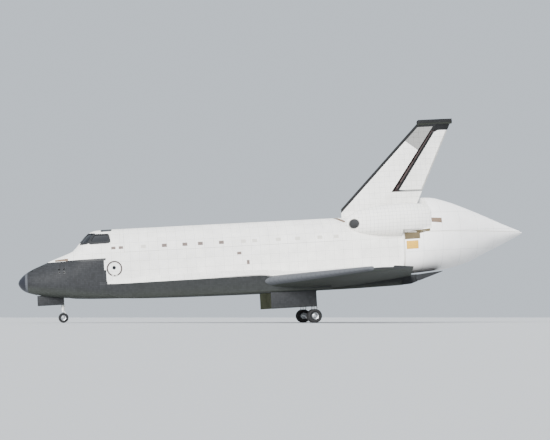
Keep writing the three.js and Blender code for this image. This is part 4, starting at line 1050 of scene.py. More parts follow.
class ORBITER_OT_bay(Operator):
    """Mid fuselage with its payload bay, ring frames and liner, and the two doors with radiators"""

    bl_idname = "orbiter.bay"
    bl_label = "Payload bay"

    def bore(self, x0, x1, radius):
        """The bay's round hollow, or one a little smaller."""
        return bar((x0, 0, BAY_AXIS_Z), (x1, 0, BAY_AXIS_Z), radius, sides=96)

    def trough(self):
        """The mid fuselage, open above, with its ring frames, liner and sills."""
        skin = hull(CABIN_END + GAP, AFT_START)
        cut(skin, self.bore(CABIN_END - 1, BAY_END, BAY_RADIUS))
        cut(skin, block(CABIN_END - 2, BAY_END, -BAY_RADIUS, BAY_RADIUS, BAY_AXIS_Z, OVER_HULL))
        cut(skin, block(CABIN_END - 3, BAY_END, -120, 120, SILL_Z, OVER_HULL))
        piece(skin, "mid_skin", "silica tiles of the hull", "blanket_and_tiles", "mid_fuselage")
        low, high = BAY_RADIUS - FRAME_DEPTH, BAY_RADIUS - 0.1
        rib = [(low, -1.5), (high, -1.5), (high, 1.5), (low, 1.5), (low, -1.5)]
        x, ribs = FRAME_START, []
        while x < BAY_END - 10:
            ribs.append(spun(rib, (x, 0, BAY_AXIS_Z), (1, 0, 0), 96))
            x += FRAME_PITCH
        frames = within(joined(ribs), block(CABIN_END, BAY_END, -120, 120, 200, SILL_Z - 4))
        piece(frames, "bay_ring_frames", "green zinc primer", "green_primer")
        liner = cut(self.bore(CABIN_END + 1, BAY_END - 0.5, high), self.bore(CABIN_END, BAY_END, high - 0.5))
        within(liner, block(CABIN_END, BAY_END, -120, 120, 200, SILL_Z - 8))
        piece(liner, "bay_liner", "white glass-fibre liner", "white_paint")
        sills = []
        for side, _ in SIDES:
            ends = sorted((side * (BAY_RADIUS - 3), side * (BAY_RADIUS + 1.5)))
            sills.append(block(CABIN_END + 2, BAY_END - 2, *ends, SILL_Z - 6, SILL_Z - 0.4))
        piece(joined(sills), "bay_sills", "ground steel", "seal_metal")

    def doors(self):
        """Both doors, with the covers over their hinges and the finish of their radiators."""
        shell = cut(hull(CABIN_END + 0.5, BAY_END - 0.5), hull(CABIN_END, BAY_END, DOOR_WALL))
        within(shell, block(CABIN_END, BAY_END, 0.25, 120, SILL_Z + 0.5, OVER_HULL))
        strips = skin_strip(HULL, 600, 1300, 0.14)
        for tone, material in (("brown", "hinge cover grey"), ("pale", "pale joint strip")):
            marks = [slab(rect(x - 8, x + 8, 430, 441), 60, 120)
                     for x, shade in HINGE_COVERS if shade == tone]
            covers = within(copied(strips), joined(marks))
            for side, name in SIDES:
                door = "bay_door_" + name
                piece(copied(covers, side < 0), f"hinge_covers_{tone}_{name}", material, "tiles", body=door)
            dropped(covers)
        for side, name in SIDES:
            door = "bay_door_" + name
            piece(copied(shell, side < 0), "bay_door_skin_" + name, "silica tiles of the hull", "tiles", door,
                  body=door)
            paint(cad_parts["radiator_" + name], "radiator silver film")
        dropped(strips, shell)

    def execute(self, context):
        self.trough()
        self.doors()
        marks = [rect(x - 7, x + 7, 431, 440) for x in (548, 572)]
        vents = patches(535, 990, 0.12, *marks, rect(943, 957, 393, 402), rect(973, 982, 360, 374))
        piece(vents, "side_vents", "hinge cover grey", "tiles")
        return {"FINISHED"}


class ORBITER_OT_aft(Operator):
    """Aft fuselage with its shelf and belly doors, the body flap, and the two engine pods"""

    bl_idname = "orbiter.aft"
    bl_label = "Aft fuselage"

    def execute(self, context):
        skin = cut(hull(AFT_START + GAP, BASE - GAP), hull(AFT_START + 5, BASE - 4, AFT_WALL))
        shelf = slab([(BASE - 8, 266), (BASE + 20, 268), (1528, 275), (1528, 298), (BASE - 8, 298)],
                     -103.9, 103.9)
        cut(skin, shelf, how="UNION")
        cut(skin, block(BASE - 6, SHOULDER_X, -POD_INNER_Y, POD_INNER_Y, 446, 499.6), how="UNION")
        x, z = FLAP_HINGE
        cut(skin, bar((x, -112, z), (x, 112, z), FLAP_RADIUS + 0.5, sides=48))
        piece(skin, "aft_skin", "silica tiles of the hull", "tiles", "aft_fuselage")
        self.belly_doors()
        covers = patches(1262, 1345, 0.14, [(1274, 499), (1290, 499), (1316, 482), (1302, 482)])
        piece(covers, "fin_root_covers", "brown thermal cover", "tiles")
        self.flap()
        self.pods()
        return {"FINISHED"}

    def belly_doors(self):
        """The dark lines round the two closed doors in the belly."""
        seams = []
        for side, _ in SIDES:
            y = side * 40
            seams.append(cut(block(1330, 1382, y - 25, y + 25, 250, 280),
                             block(1331.2, 1380.8, y - 23.8, y + 23.8, 240, 290)))
        lines = within(skin_strip(HULL, 1312, 1400, 0.1), joined(seams))
        piece(lines, "belly_door_seams", "dark hinge seal", "seal_metal")

    def flap(self):
        """The body flap, round in front and sharp behind, raised about its hinge."""
        x, z = FLAP_HINGE
        arc = [math.pi / 2 + math.pi * i / 20 for i in range(21)]
        outline = [(FLAP_RADIUS * math.cos(a), FLAP_RADIUS * math.sin(a)) for a in arc]
        outline += [(FLAP_CHORD, -1), (FLAP_CHORD + 0.6, 0), (FLAP_CHORD, 1)]
        c, s = math.cos(FLAP_REST), math.sin(FLAP_REST)
        lifted = [(x + px * c - pz * s, z + pz * c + px * s) for px, pz in outline]
        flap = slab(lifted, -FLAP_HALF_SPAN, FLAP_HALF_SPAN)
        piece(flap, "body_flap_skin", "silica tiles of the body flap", "black_tiles", "body_flap",
              body="body_flap")

    def pod(self, grow=0.0):
        """The starboard pod, flat inside and cut where it meets the shoulder."""
        rings = []
        for x in stations(POD, 14):
            y, z, half_y, half_z = eased(POD, x)
            rings.append([Vector((x, y + a * (half_y + grow), z + b * (half_z + grow)))
                          for a, b in round_points(64, POD_ROUND)])
        pod = made(lofted(rings))
        return cut(pod, block(1280, 1600, -60, POD_INNER_Y, 380, 580),
                   block(BASE - 2, 1600, -200, 200, 380, SHOULDER_Z))

    def pods(self):
        """Both pods, each with the round dark cover and its rim on the outer side."""

        def disc(y0, y1, radius):
            """A round tool from side to side through the cover's middle."""
            return bar((1330, y0, 473), (1330, y1, 473), radius, sides=48)

        pod = self.pod()
        shell = cut(self.pod(0.15), copied(pod))
        cover = within(copied(shell), disc(60, 200, 15.5))
        rim = within(shell, cut(disc(60, 200, 17.3), disc(50, 210, 15.8)))
        for side, name in SIDES:
            for shape, piece_name, material, slot, *node in (
                (pod, "pod_skin_", "quilted blanket of the pods", "blanket", "engine_pod_" + name),
                (cover, "pod_nose_cover_", "black window tile", "black_tiles"),
                (rim, "pod_nose_rim_", "pale joint strip", "blanket"),
            ):
                piece(copied(shape, side < 0), piece_name + name, material, slot, *node)
        dropped(pod, cover, rim)


class ORBITER_OT_tail_cone(Operator):
    """The ferry tail cone, its lap joints and the patches on its front edge"""

    bl_idname = "orbiter.tail_cone"
    bl_label = "Tail cone"

    def execute(self, context):
        cone = cut(body_skin(CONE, BASE + GAP, 1916), block(BASE - 1, SHOULDER_X, -200, 200, SHOULDER_Z, 600))
        piece(cone, "tail_cone_skin", "white sprayed sheet", "white_paint", "tail_cone")
        paint(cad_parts["main_engines"], "ground steel")
        shell = cut(skin_strip(CONE, 1488, 1912, 0.13),
                    block(BASE - 1, SHOULDER_X + 0.5, -200, 200, SHOULDER_Z, 600))
        olive = [(1492, 413), (1540, 413), (1540, 430), (1572, 436), (1572, 444), (1530, 441), (1492, 437)]
        for name, material, outline in (
            ("side_lap", "pale joint strip", [(1490, 436), (1908, 420.6), (1908, 422.4), (1490, 438.6)]),
            ("gold_covers", "gold insulation film", rect(1497, 1534, 381, 408)),
            ("olive_covers", "olive blanket", olive),
            ("brown_covers", "brown thermal cover", [(1578.2, 464), (1612, 460), (1612, 476), (1578.2, 479)]),
        ):
            patch = within(copied(shell), slab(outline, -200, 200))
            piece(patch, "cone_" + name, material, "white_paint")
        flange = within(shell, block(1489, 1493, -200, 200, 290, 600))
        piece(flange, "cone_front_flange", "pale joint strip", "white_paint")
        return {"FINISHED"}


def half_thickness(share):
    """Half the thickness of the four-digit wing section at a share of its chord."""
    curve = -0.126 * share - 0.3516 * share**2 + 0.2843 * share**3 - 0.1036 * share**4
    return 5 * THICKNESS * (0.2969 * math.sqrt(share) + curve)


def wing_ring(y, thin=1.0):
    """One section of the wing, ahead of its hinge line and behind it."""
    lead, trail = WING_LEAD + y, WING_TRAIL - TRAIL_SWEEP * y
    chord = trail - lead
    shares = [(k / 22) ** 2 for k in range(23)]
    ring = []
    for side, run in ((1, shares), (-1, shares[:0:-1])):
        for share in run:
            x = lead + share * chord - HINGE_X
            z = thin * side * half_thickness(share) * chord
            ring.append(WING @ Vector((x, y, z - x * TWIST)))
    return ring


def nose_radius(y):
    """Half thickness of the wing at the elevons' hinge line."""
    chord = WING_TRAIL - TRAIL_SWEEP * y - WING_LEAD - y
    return half_thickness((HINGE_X - WING_LEAD - y) / chord) * chord


def smooth_line(points, parts=5):
    """A soft curve through points, for a section's outline."""
    found = []
    for i in range(len(points) - 1):
        near = [points[max(0, min(len(points) - 1, i + k))] for k in (-1, 0, 1, 2)]
        for k in range(parts):
            t = k / parts
            found.append(tuple(
                0.5 * (2 * b + (c - a) * t + (2 * a - 5 * b + 4 * c - d) * t**2
                       + (3 * b - a - 3 * c + d) * t**3)
                for a, b, c, d in zip(*near)))
    return found + [points[-1]]


def glove():
    """The glove ahead of the wing, flat below with a round edge."""
    rings = []
    for x in stations(GLOVE, 20):
        y, belly, roof, edge = eased(GLOVE, x)
        depth = min(14, (y - WING_ROOT) * 0.5)
        outline = smooth_line([
            (WING_ROOT, belly), (y - depth * 1.6, belly), (y - depth * 0.6, belly + (edge - belly) * 0.35),
            (y, edge - 4), (y, edge + 1), (y - depth * 0.5, edge + 5), (WING_ROOT, roof)])
        rings.append([Vector((x, a, b)) for a, b in outline])
    return made(lofted(rings))


def edge_tool(depth):
    """Everything ahead of a line behind the wing's leading edge."""
    shift = depth * math.sqrt(2)
    inner, outer = WING_LEAD + RCC_START_Y, WING_LEAD + WING_TIP
    corners = ((inner - 90, RCC_START_Y), (inner + shift, RCC_START_Y),
               (outer + shift, WING_TIP + 2), (outer - 90, WING_TIP + 2))
    bm = bmesh.new()
    face = bm.faces.new([bm.verts.new((x, y, 220)) for x, y in corners])
    top = bmesh.ops.extrude_face_region(bm, geom=[face])
    far = [v for v in top["geom"] if isinstance(v, bmesh.types.BMVert)]
    bmesh.ops.translate(bm, verts=far, vec=(0, 0, 200))
    bmesh.ops.recalc_face_normals(bm, faces=bm.faces)
    return made(bm)


def elevon(y0, y1):
    """One elevon, round in front and sharp behind."""
    rings = []
    for y in (y0, y1):
        radius = nose_radius(y)
        end = WING_TRAIL - TRAIL_SWEEP * y - HINGE_X
        arc = [math.pi / 2 + math.pi * i / 16 for i in range(17)]
        ring = [(radius * math.cos(a), radius * math.sin(a)) for a in arc]
        ring += [(end, -end * TWIST - 0.6), (end, -end * TWIST + 0.6)]
        rings.append([WING @ Vector((x, y, z)) for x, z in ring])
    return made(lofted(rings))


class ORBITER_OT_wings(Operator):
    """Wings with gloves and wheel wells, their hot leading edges, and the four elevons"""

    bl_idname = "orbiter.wings"
    bl_label = "Wings"

    def blade(self):
        """The starboard wing with its round tip, and the cove that the elevons turn in."""
        rings = [wing_ring(y) for y in WING_STATIONS]
        for turn in TIP_TURNS:
            rings.append(wing_ring(WING_STATIONS[-1] + TIP_DEPTH * math.sin(turn), math.cos(turn)))
        inner, outer = ELEVONS[0][1] - 1, WING_TIP + 10
        ends = [(WING @ Vector((0, y, 0)), nose_radius(y) + 0.5) for y in (inner, outer)]
        cove = bar(ends[0][0], ends[1][0], ends[0][1], ends[1][1], sides=48)
        behind = block(-3.5, 300, inner, outer, -60, 60)
        behind.data.transform(WING)
        return cut(made(lofted(rings)), cove, behind)

    def execute(self, context):
        blade = self.blade()
        edge = within(copied(blade), edge_tool(RCC_DEPTH))
        cut(blade, edge_tool(RCC_DEPTH + 0.3))
        x0, x1, y0, y1, top = MAIN_WELL
        shell = cut(joined([blade, glove()]), block(x0, x1, y0, y1, 200, top))
        flaps = [(name, elevon(y0, y1)) for name, y0, y1 in ELEVONS]
        for side, name in SIDES:
            mirror = side < 0
            piece(copied(shell, mirror), "wing_skin_" + name, "silica tiles of the wing", "tiles",
                  "wing_" + name)
            piece(copied(edge, mirror), "hot_edge_" + name, "reinforced carbon of the wing edge",
                  "grey_carbon", "leading_edge_" + name)
            for part, shape in flaps:
                node = f"elevon_{part}_{name}"
                piece(copied(shape, mirror), f"elevon_skin_{part}_{name}", "silica tiles of the wing",
                      "tiles", node, body=node)
        dropped(shell, edge, *[shape for _, shape in flaps])
        return {"FINISHED"}


def fin_at(z):
    """Leading edge, chord, hinge station and half thickness of the fin at a height."""
    share = (z - FIN_ROOT_Z) / (FIN_TIP_Z - FIN_ROOT_Z)
    lead = FIN_LEAD + share * (FIN_TIP_Z - FIN_ROOT_Z)
    chord = FIN_ROOT_CHORD + share * (FIN_TIP_CHORD - FIN_ROOT_CHORD)
    return lead, chord, lead + FIN_HINGE * chord, FIN_HALF * chord


class ORBITER_OT_fin(Operator):
    """The fin with its round leading edge and black cap, the rudder panels and their dark seal, which also
    stands in for the shade in the cove
    """

    bl_idname = "orbiter.fin"
    bl_label = "Fin"

    def section(self, z, thin=1.0):
        """The fin's outline at a height, round in front and thickest at the hinge."""
        lead, chord, hinge, half = fin_at(z)
        near, far = (0.12 * half + 0.8) * thin, (half * 0.22 + 0.8) * thin
        front = smooth_line([
            (lead + 9, far), (lead + 1.5, near), (lead, 0), (lead + 1.5, -near), (lead + 9, -far)])
        rear = [(hinge, -half * thin), (lead + chord, -0.5 * thin), (lead + chord, 0.5 * thin),
                (hinge, half * thin)]
        return [Vector((x, y, z)) for x, y in front + rear]

    def execute(self, context):
        heights = [(FIN_ROOT_Z + GAP, 1), (RUDDER_BOTTOM, 1), (RUDDER_TOP, 1), (812.5, 1), (814.8, 0.8),
                   (FIN_TIP_Z, 0.45)]
        fin = made(lofted([self.section(z, thin) for z, thin in heights]))
        low, high = fin_at(RUDDER_BOTTOM - 6), fin_at(RUDDER_TOP + 6)
        starts = [fin_at(z)[2] - RUDDER_LIP * fin_at(z)[3] for z in (RUDDER_BOTTOM, RUDDER_TOP)]
        cut(fin, slab([(starts[0], RUDDER_BOTTOM), (1850, RUDDER_BOTTOM), (1850, RUDDER_TOP),
                       (starts[1], RUDDER_TOP)], -40, 40))
        swept = bar((low[2], 0, RUDDER_BOTTOM - 6), (high[2], 0, RUDDER_TOP + 6), low[3] + 0.5,
                    high[3] + 0.5, sides=48)
        cut(fin, within(swept, block(1400, 1900, -40, 40, RUDDER_BOTTOM, RUDDER_TOP)))
        cut(fin, block(FIN_LEAD - 10, FIN_FRONT, -20, 20, FIN_ROOT_Z - 5,
                       FIN_ROOT_Z + FIN_FRONT - FIN_LEAD + 1))
        x0, x1, radius = FIN_CAP
        turns = [math.pi / 2 * k / 8 for k in range(9)]
        dome = [(radius * math.sin(a), 8 * (1 - math.cos(a))) for a in turns]
        housing = dome + [(radius * 0.81, x1 - x0 - 1), (radius * 0.74, x1 - x0), (0, x1 - x0)]
        cut(fin, spun(housing, (x0, 0, FIN_TIP_Z - radius), (1, 0, 0), 40), how="UNION")
        piece(fin, "fin_skin", "silica tiles of the fin", "tiles", "fin")
        self.seal()
        for _, name in SIDES:
            paint(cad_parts["rudder_panel_" + name], "silica tiles of the rudder")
        paint(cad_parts["rudder_shaft"], "dark hinge seal")
        return {"FINISHED"}

    def seal(self):
        """A thin dark sheet that fills the cove between the fin and the shaft, and the corners cut off the
        rudder panels: partly a seal, partly painted shade, a dark sheet where the gaps would lie in shade.
        The shaft's own room is cut out of it."""
        (_, _, foot, wide), (_, _, top, narrow) = fin_at(RUDDER_BOTTOM), fin_at(RUDDER_TOP)
        lean = math.atan2(top - foot, RUDDER_TOP - RUDDER_BOTTOM)
        z0, z1 = RUDDER_BOTTOM + GAP, RUDDER_TOP - GAP
        # Partly painted shade: this sheet is dark so that the gaps beside the rudder read as shaded
        seal_and_shade_web = slab([
            (foot - 1.22 * wide - 1.2, z0), (foot + 28, z0), (foot + 11, z0 + 5), (fin_at(z0 + 5)[2], z0 + 5),
            (fin_at(z1 - 5.5)[2], z1 - 5.5), (top + 5.5, z1 - 5.5), (top + 17, z1),
            (top - 1.22 * narrow - 1.2, z1)], -0.3, 0.3)

        def clear(start, end, core=None):
            """Cuts one length of the shaft out of the web."""
            (_, _, xa, a), (_, _, xb, b) = fin_at(start), fin_at(end)
            radii = [core or r * math.cos(lean) - SHAFT_THINNER + 0.06 for r in (a, b)]
            cut(seal_and_shade_web, bar((xa, 0, start), (xb, 0, end), *radii, sides=48))

        clear(*SHAFT_ENDS, SHAFT_CORE)
        for start, end in SHAFT_CONES:
            clear(start, end)
        piece(seal_and_shade_web, "rudder_cove_seal_and_shade", "dark hinge seal", "seal_metal")


def tyre(radius, width, hub, centre, grooves):
    """A tyre with round shoulders, and grooves round its tread."""
    half, depth = width / 2, radius - hub
    flank = [(hub + 0.1, 0.56 * half), (hub + 0.6, 0.66 * half), (hub + 0.38 * depth, 0.97 * half),
             (hub + 0.6 * depth, half), (radius - 0.2 * half, 0.85 * half),
             (radius - 0.05 * half, 0.62 * half), (radius, 0.42 * half)]
    side = smooth_line(flank)
    crown = []
    for i in range(grooves):
        middle = half * 0.36 * (1 - 2 * i / (grooves - 1)) if grooves > 1 else 0
        crown += [(radius, middle + 0.22), (radius - 0.45, middle + 0.16),
                  (radius - 0.45, middle - 0.16), (radius, middle - 0.22)]
    profile = side + crown + [(r, -a) for r, a in reversed(side)]
    return spun(profile + [profile[0]], centre, (0, 1, 0), 72)


# A wheel's lightening holes and bolts: radius of their ring and their own, as shares of the rim's
HOLE_RING, HOLE_SIZE, BOLT_RING, BOLT_SIZE = 0.64, 0.085, 0.43, 0.045


def wheel(hub, width, centre, side, bolts):
    """A forged wheel: two rim flanges, a dished face with lightening holes, and its bolt heads."""
    half = width / 2
    x, y, z = centre
    rim = [
        (hub - 1.6, -0.5), (hub + 0.05, -0.56), (hub + 0.7, -0.64), (hub + 0.7, -0.56), (hub - 0.3, -0.4),
        (hub - 0.8, 0), (hub - 0.3, 0.4), (hub + 0.7, 0.56), (hub + 0.7, 0.64), (hub + 0.05, 0.56),
        (hub - 1.6, 0.5), (hub - 2.2, 0.1), (hub * 0.5, 0.22), (hub * 0.36, 0.5), (hub * 0.2, 0.52),
        (0, 0.52), (0, -0.1), (hub * 0.5, -0.06), (hub - 2.2, -0.2), (hub - 1.6, -0.5),
    ]
    body = spun([(r, a * half * side) for r, a in rim], centre, (0, 1, 0), 72)

    def ring(radius, offset, y0, y1, thick, sides):
        """Bars set round the axle."""
        bars = []
        for i in range(bolts):
            turn = 2 * math.pi * i / bolts + offset
            hx, hz = x + math.cos(turn) * radius, z + math.sin(turn) * radius
            bars.append(bar((hx, y + y0, hz), (hx, y + y1, hz), thick, sides=sides))
        return joined(bars)

    cut(body, ring(hub * HOLE_RING, 0, -half, half, hub * HOLE_SIZE, 16))
    foot, head = side * 0.2 * half, side * 0.44 * half
    return body, ring(hub * BOLT_RING, math.pi / bolts, foot, head, hub * BOLT_SIZE, 6)


class ORBITER_OT_gear(Operator):
    """Legs with their pistons, links and lines, wheels, tyres, doors and the lined wheel wells"""

    bl_idname = "orbiter.gear"
    bl_label = "Landing gear"

    def wheels(self, prefix, body, node, axle, sizes, bolts, grooves):
        """Two wheels on one axle, with their tyres and bolts."""
        x, y, z = axle
        radius, width, hub, spread, pin = sizes
        metal, heads = [], []
        for side, where in ((-1, "port"), (1, "starboard")):
            centre = (x, y + side * spread, z)
            forged, bolted = wheel(hub, width, centre, side, bolts)
            metal.append(forged)
            heads.append(bolted)
            name = f"{prefix}_tyre_{where}"
            piece(tyre(radius, width, hub, centre, grooves), name + "_rubber", "tyre rubber", "tyre", name,
                  body=body)
        end = spread + width * 0.22
        metal.append(bar((x, y - end, z), (x, y + end, z), pin, sides=32))
        piece(joined(metal), prefix + "_wheel_metal", "forged aluminium", "wheel_metal", node, body=body)
        piece(joined(heads), prefix + "_wheel_bolts", "ground steel", "wheel_metal", body=body)

    def fitted(self, bodies, place, name, material, *node, body="airframe"):
        """Bodies drawn round the axle's middle, put in their place as one piece of the gear."""
        piece(shifted(joined(bodies), place), name, material, "gear_metal", *node, body=body)

    def main(self, side, name):
        """One main leg: barrel, trunnion, braces, scissor links, piston and brake lines."""
        x, y, z = MAIN_AXLE
        place = (x, y * side, z)
        front, _, well0, well1, _ = MAIN_WELL
        shaft = MAIN_TRUNNION_Z - z
        inner, outer = sorted((side * (well0 - y + 0.2), side * (well1 - y - 0.2)))
        barrel = [
            (0, shaft + 5), (4.6, shaft + 5), (6.2, shaft + 3), (6.2, shaft - 4), (5.5, shaft - 6), (5.5, 74),
            (6.1, 73), (6.1, 69), (5.5, 68), (5.5, 48), (6.1, 47), (6.1, 43), (5.5, 42), (5.5, 36),
            (6.3, 35), (6.3, 31), (5.2, 29.5), (0, 29.5),
        ]
        knee = Vector((front + 60 - x, 0, shaft + 2))
        elbow = Vector((0, 0, 46)).lerp(knee, 0.5)
        parts = [
            spun(barrel, (0, 0, 0), (0, 0, 1), 40), bar((0, inner, shaft), (0, outer, shaft), 3.2),
            bar((knee.x, inner, knee.z), (knee.x, outer, knee.z), 2)]
        parts += [bar((0, a, shaft), (0, a + 5, shaft), 4.6, bevel=0.4) for a in (inner, outer - 5, -9, 4)]
        parts += [bar((0, a, 46), elbow + Vector((0, a * 0.6, 0)), 1.5) for a in (-2.6, 2.6)]
        parts += [
            bar(elbow, knee, 2.2), crossbar(elbow.x, 4, elbow.z, 2.6, bevel=0.3),
            crossbar(0, 6.4, 46, 2.4, bevel=0.3), crossbar(0, 5, 0, 5.2, bevel=0.5),
            slab([(5.2, 40), (12.6, 26.4), (12.6, 24.4), (10.4, 24.4), (5.2, 35.4)], -2.4, 2.4, 0.3),
            slab([(12.6, 25.4), (4.2, 6.2), (4.2, 10.4), (10.0, 26.2)], -1.8, 1.8, 0.3),
            crossbar(11.4, 3.4, 25.2, 1.2, bevel=0.2)]
        self.fitted(parts, place, "main_gear_leg_" + name, "white gear enamel", "main_leg_" + name)
        piston = bar((0, 0, 31), (0, 0, 3), 3.8, sides=40)
        self.fitted([piston], place, "main_gear_piston_" + name, "hard chrome")
        lines = []
        for a in (-2.2, 2.2):
            bends = [(-5.4, a, 100), (-6.2, a, 60), (-5.6, a, 36), (-7.4, a * 1.3, 20), (-4.6, a * 1.6, 5)]
            lines.append(tube(bends, 0.45))
        self.fitted(lines, place, "main_gear_lines_" + name, "black anodised fitting")

    def nose(self):
        """The nose leg that stays in the craft, and the fork and piston that steer."""
        shaft = NOSE_TRUNNION_Z - NOSE_AXLE[2]
        half = NOSE_WELL[2] - 0.2
        barrel = [
            (0, shaft + 4), (3.6, shaft + 4), (4.8, shaft + 2), (4.8, shaft - 3), (4.2, shaft - 5), (4.2, 52),
            (4.9, 51), (4.9, 47), (4.2, 46), (4.2, 31), (4.9, 30), (4.9, 25.5), (4.2, 24.3), (0, 24.3),
        ]
        parts = [spun(barrel, (0, 0, 0), (0, 0, 1), 40), crossbar(0, half, shaft, 2.6),
                 crossbar(-46, half, shaft, 1.8)]
        parts += [bar((0, a, 40), (-46, a * 3, shaft), 1.3) for a in (-2.4, 2.4)]
        parts += [crossbar(-23, 6, (40 + shaft) / 2, 1.5, bevel=0.2), crossbar(0, 5, 40, 2.2, bevel=0.3)]
        parts += [bar((3, a, 36), (8.5, a, 36), 1.4, bevel=0.2) for a in (-3.2, 3.2)]
        self.fitted(parts, NOSE_AXLE, "nose_gear_leg", "white gear enamel", "nose_leg")
        lines = [tube([(-4.2, a, 90), (-4.6, a, 60), (-4.3, a, 32)], 0.35) for a in (-1.8, 1.8)]
        self.fitted(lines, NOSE_AXLE, "nose_gear_lines", "black anodised fitting")
        collar = [(0, 23.4), (3.6, 23.4), (3.9, 22.6), (3.9, 19.8), (3.6, 19), (0, 19)]
        fork = [
            spun(collar, (0, 0, 0), (0, 0, 1), 40), crossbar(0, 4, 0, 3.8, bevel=0.4),
            slab([(3.4, 22.6), (9.2, 13.4), (9.2, 11.4), (7.2, 11.4), (3.4, 19.4)], -1.7, 1.7, 0.25),
            slab([(9.2, 12.4), (3.2, 1.8), (3.2, 5.4), (7.0, 13.2)], -1.3, 1.3, 0.25),
            crossbar(8.2, 2.5, 12.3, 0.9, bevel=0.15)]
        self.fitted(fork, NOSE_AXLE, "nose_gear_fork", "white gear enamel", "nose_piston",
                    body="nose_steering")
        piston = bar((0, 0, 38), (0, 0, 2), 2.55, sides=40)
        self.fitted([piston], NOSE_AXLE, "nose_gear_piston", "hard chrome", body="nose_steering")

    def door(self, name, x0, x1, z0, z1, outer, thick, side, ribs):
        """A well door: a tiled plate outside, and a primed frame with ribs inside."""
        middle = outer - thick * 0.55
        plate = slab(rect(x0, x1, z0, z1), *sorted((side * middle, side * outer)), 0.25)
        piece(plate, name + "_skin", "silica tiles of the body flap", "black_tiles", name)
        back = sorted((side * (outer - thick), side * (middle - 0.02)))
        bars = [slab(rect(x0 + 1, x1 - 1, a, a + 1.6), *back) for a in (z0 + 0.8, (z0 + z1) / 2, z1 - 2.6)]
        for i in range(ribs):
            x = x0 + 1 + (x1 - x0 - 3.6) * i / (ribs - 1)
            bars.append(slab(rect(x, x + 1.6, z0 + 1, z1 - 1.2), *back))
        sheet = sorted((side * (middle - 0.3), side * (middle - 0.02)))
        bars.append(slab(rect(x0 + 0.5, x1 - 0.5, z0 + 0.5, z1 - 0.5), *sheet))
        piece(joined(bars), name + "_ribs", "green zinc primer", "green_primer")

    def liner(self, name, x0, x1, y0, y1, z0, top):
        """Primed walls of a wheel well."""
        shell = cut(block(x0 + 0.05, x1 - 0.05, y0 + 0.05, y1 - 0.05, z0, top - 0.05),
                    block(x0 + 0.35, x1 - 0.35, y0 + 0.35, y1 - 0.35, z0 - 5, top - 0.4))
        ribs = []
        x = x0 + 12
        while x < x1 - 4:
            ribs.append(block(x, x + 0.8, y0 + 0.3, y1 - 0.3, top - 2.4, top - 0.3))
            x += 18
        piece(joined([shell, *ribs]), name, "green zinc primer", "green_primer")

    def execute(self, context):
        grooves = context.scene.orbiter_sizes.tyre_grooves
        self.nose()
        self.wheels("nose", "nose_wheels", "nose_wheels", NOSE_AXLE, NOSE_WHEEL, 8, max(2, grooves - 1))
        x0, x1, y, top = NOSE_WELL
        self.liner("nose_well_liner", x0, x1, -y, y, 301, top)
        a0, a1, b0, b1, roof = MAIN_WELL
        for side, name in SIDES:
            self.main(side, name)
            axle = (MAIN_AXLE[0], side * MAIN_AXLE[1], MAIN_AXLE[2])
            self.wheels("main_" + name, "main_wheels_" + name, f"main_{name}_wheels", axle, MAIN_WHEEL, 9,
                        grooves)
            self.door("nose_gear_door_" + name, x0 + 1, x1 - 2, 264, 297, y - GAP, 1.6, side, 6)
            self.door("main_gear_door_" + name, a0 + 1, a1 - 8, 212, 276, b1 - GAP, 3, side, 8)
            self.liner("main_well_liner_" + name, a0, a1, *sorted((side * b0, side * b1)), 272, roof)
        return {"FINISHED"}


LIGHTS = (  # name, where it shines from, its width in degrees and its power
    ("key", (-26, -48, 24), 35, 8.0), ("fill", (40, 40, 36), 60, 1.8), ("top", (0, 4, 60), 70, 1.0),
)
CAMERA_HEIGHT, AIM_HEIGHT, FLOOR_HALF, SIGHT_END = 0.25, 4.3, 400, 2000  # metres


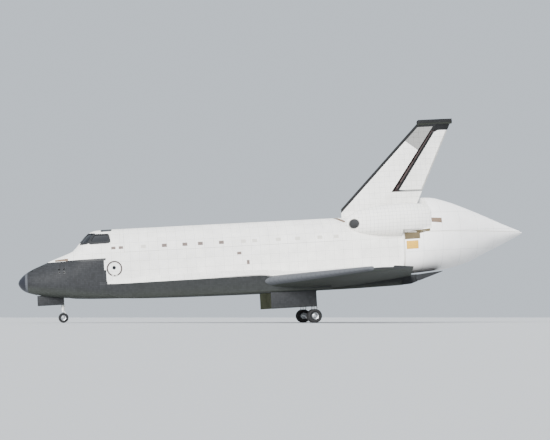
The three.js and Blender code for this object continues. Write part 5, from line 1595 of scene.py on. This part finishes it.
class ORBITER_OT_stage(Operator):
    """Pale floor, soft lights and the camera, low beside the craft and a little ahead of abeam"""

    bl_idname = "orbiter.stage"
    bl_label = "Stage"

    def floor(self, colour):
        """Poured and sealed concrete, painted: an even pale grey with hardly a stain."""
        tree, shader, craft, _ = started("pale studio floor")
        grain = put(tree, "TexNoise", None, craft, Scale=0.01, Detail=2.0)
        tone = put(tree, "Mix", {"data_type": "RGBA"}, grain.outputs["Fac"], shaded(colour, 0.97), colour)
        tree.links.new(tone.outputs[2], shader.inputs["Base Color"])
        shader.inputs["Roughness"].default_value = 0.85
        bm = bmesh.new()
        bmesh.ops.create_grid(bm, x_segments=2, y_segments=2, size=FLOOR_HALF)
        floor = made(bm)
        floor.name = "floor"
        paint(floor, "pale studio floor")

    def lights(self, brightness, sky):
        """An even pale sky, and three wide soft suns."""
        world = bpy.data.worlds.new("studio")
        bpy.context.scene.world = world
        world.use_nodes = True
        background = world.node_tree.nodes["Background"]
        background.inputs[0].default_value = (*linear("#DCE6F0"), 1)
        background.inputs[1].default_value = sky
        for name, place, width, power in LIGHTS:
            light = bpy.data.lights.new(name, "SUN")
            light.angle = math.radians(width)
            light.energy = power * brightness
            obj = bpy.data.objects.new(name, light)
            obj.rotation_euler = (-Vector(place)).to_track_quat("-Z", "Y").to_euler()
            bpy.context.scene.collection.objects.link(obj)

    def execute(self, context):
        stage = context.scene.orbiter_stage
        self.floor(tuple(context.scene.orbiter_finish.floor))
        self.lights(stage.brightness, stage.sky)
        camera = bpy.data.objects.new("camera", bpy.data.cameras.new("camera"))
        context.scene.collection.objects.link(camera)
        turn, far = stage.bearing, stage.distance
        camera.location = (-math.sin(turn) * far, -math.cos(turn) * far, CAMERA_HEIGHT)
        sight_line = Vector((0, 0, AIM_HEIGHT)) - camera.location
        camera.rotation_euler = sight_line.to_track_quat("-Z", "Y").to_euler()
        camera.data.lens = stage.lens
        camera.data.clip_end = SIGHT_END
        context.scene.camera = camera
        return {"FINISHED"}


class ORBITER_OT_finishes(Operator):
    """Every material of the craft"""

    bl_idname = "orbiter.finishes"
    bl_label = "Finishes"

    def execute(self, context):
        build_finishes()
        return {"FINISHED"}


OPERATORS = (
    ORBITER_OT_finishes, ORBITER_OT_stage, ORBITER_OT_hull, ORBITER_OT_windows, ORBITER_OT_hatch,
    ORBITER_OT_cabin, ORBITER_OT_bay, ORBITER_OT_aft, ORBITER_OT_tail_cone, ORBITER_OT_wings,
    ORBITER_OT_fin, ORBITER_OT_gear,
)


class ORBITER_PT_pieces(Panel):
    """Buttons for every piece of the craft, and its sizes and colours"""

    bl_idname = "ORBITER_PT_pieces"
    bl_label = "Orbiter"
    bl_space_type = "VIEW_3D"
    bl_region_type = "UI"
    bl_category = "Orbiter"

    def draw(self, context):
        for operator in OPERATORS:
            self.layout.operator(operator.bl_idname)
        for group in (context.scene.orbiter_sizes, context.scene.orbiter_finish, context.scene.orbiter_stage):
            box = self.layout.box()
            for key in group.__annotations__:
                box.prop(group, key)


CLASSES = (OrbiterSizes, OrbiterFinish, OrbiterStage, *OPERATORS, ORBITER_PT_pieces)


GROUPS = {"orbiter_sizes": OrbiterSizes, "orbiter_finish": OrbiterFinish, "orbiter_stage": OrbiterStage}


def register():
    """Adds the classes and puts the groups of settings on the scene."""
    for cls in CLASSES:
        bpy.utils.register_class(cls)
    for key, group in GROUPS.items():
        setattr(bpy.types.Scene, key, PointerProperty(type=group))


def unregister():
    """Takes the groups and the classes away again."""
    for key in GROUPS:
        delattr(bpy.types.Scene, key)
    for cls in reversed(CLASSES):
        bpy.utils.unregister_class(cls)


def main():
    """Builds every piece through its operator."""
    register()
    for operator in OPERATORS:
        getattr(bpy.ops.orbiter, operator.bl_idname.partition(".")[2])()


if __name__ == "__main__":
    main()
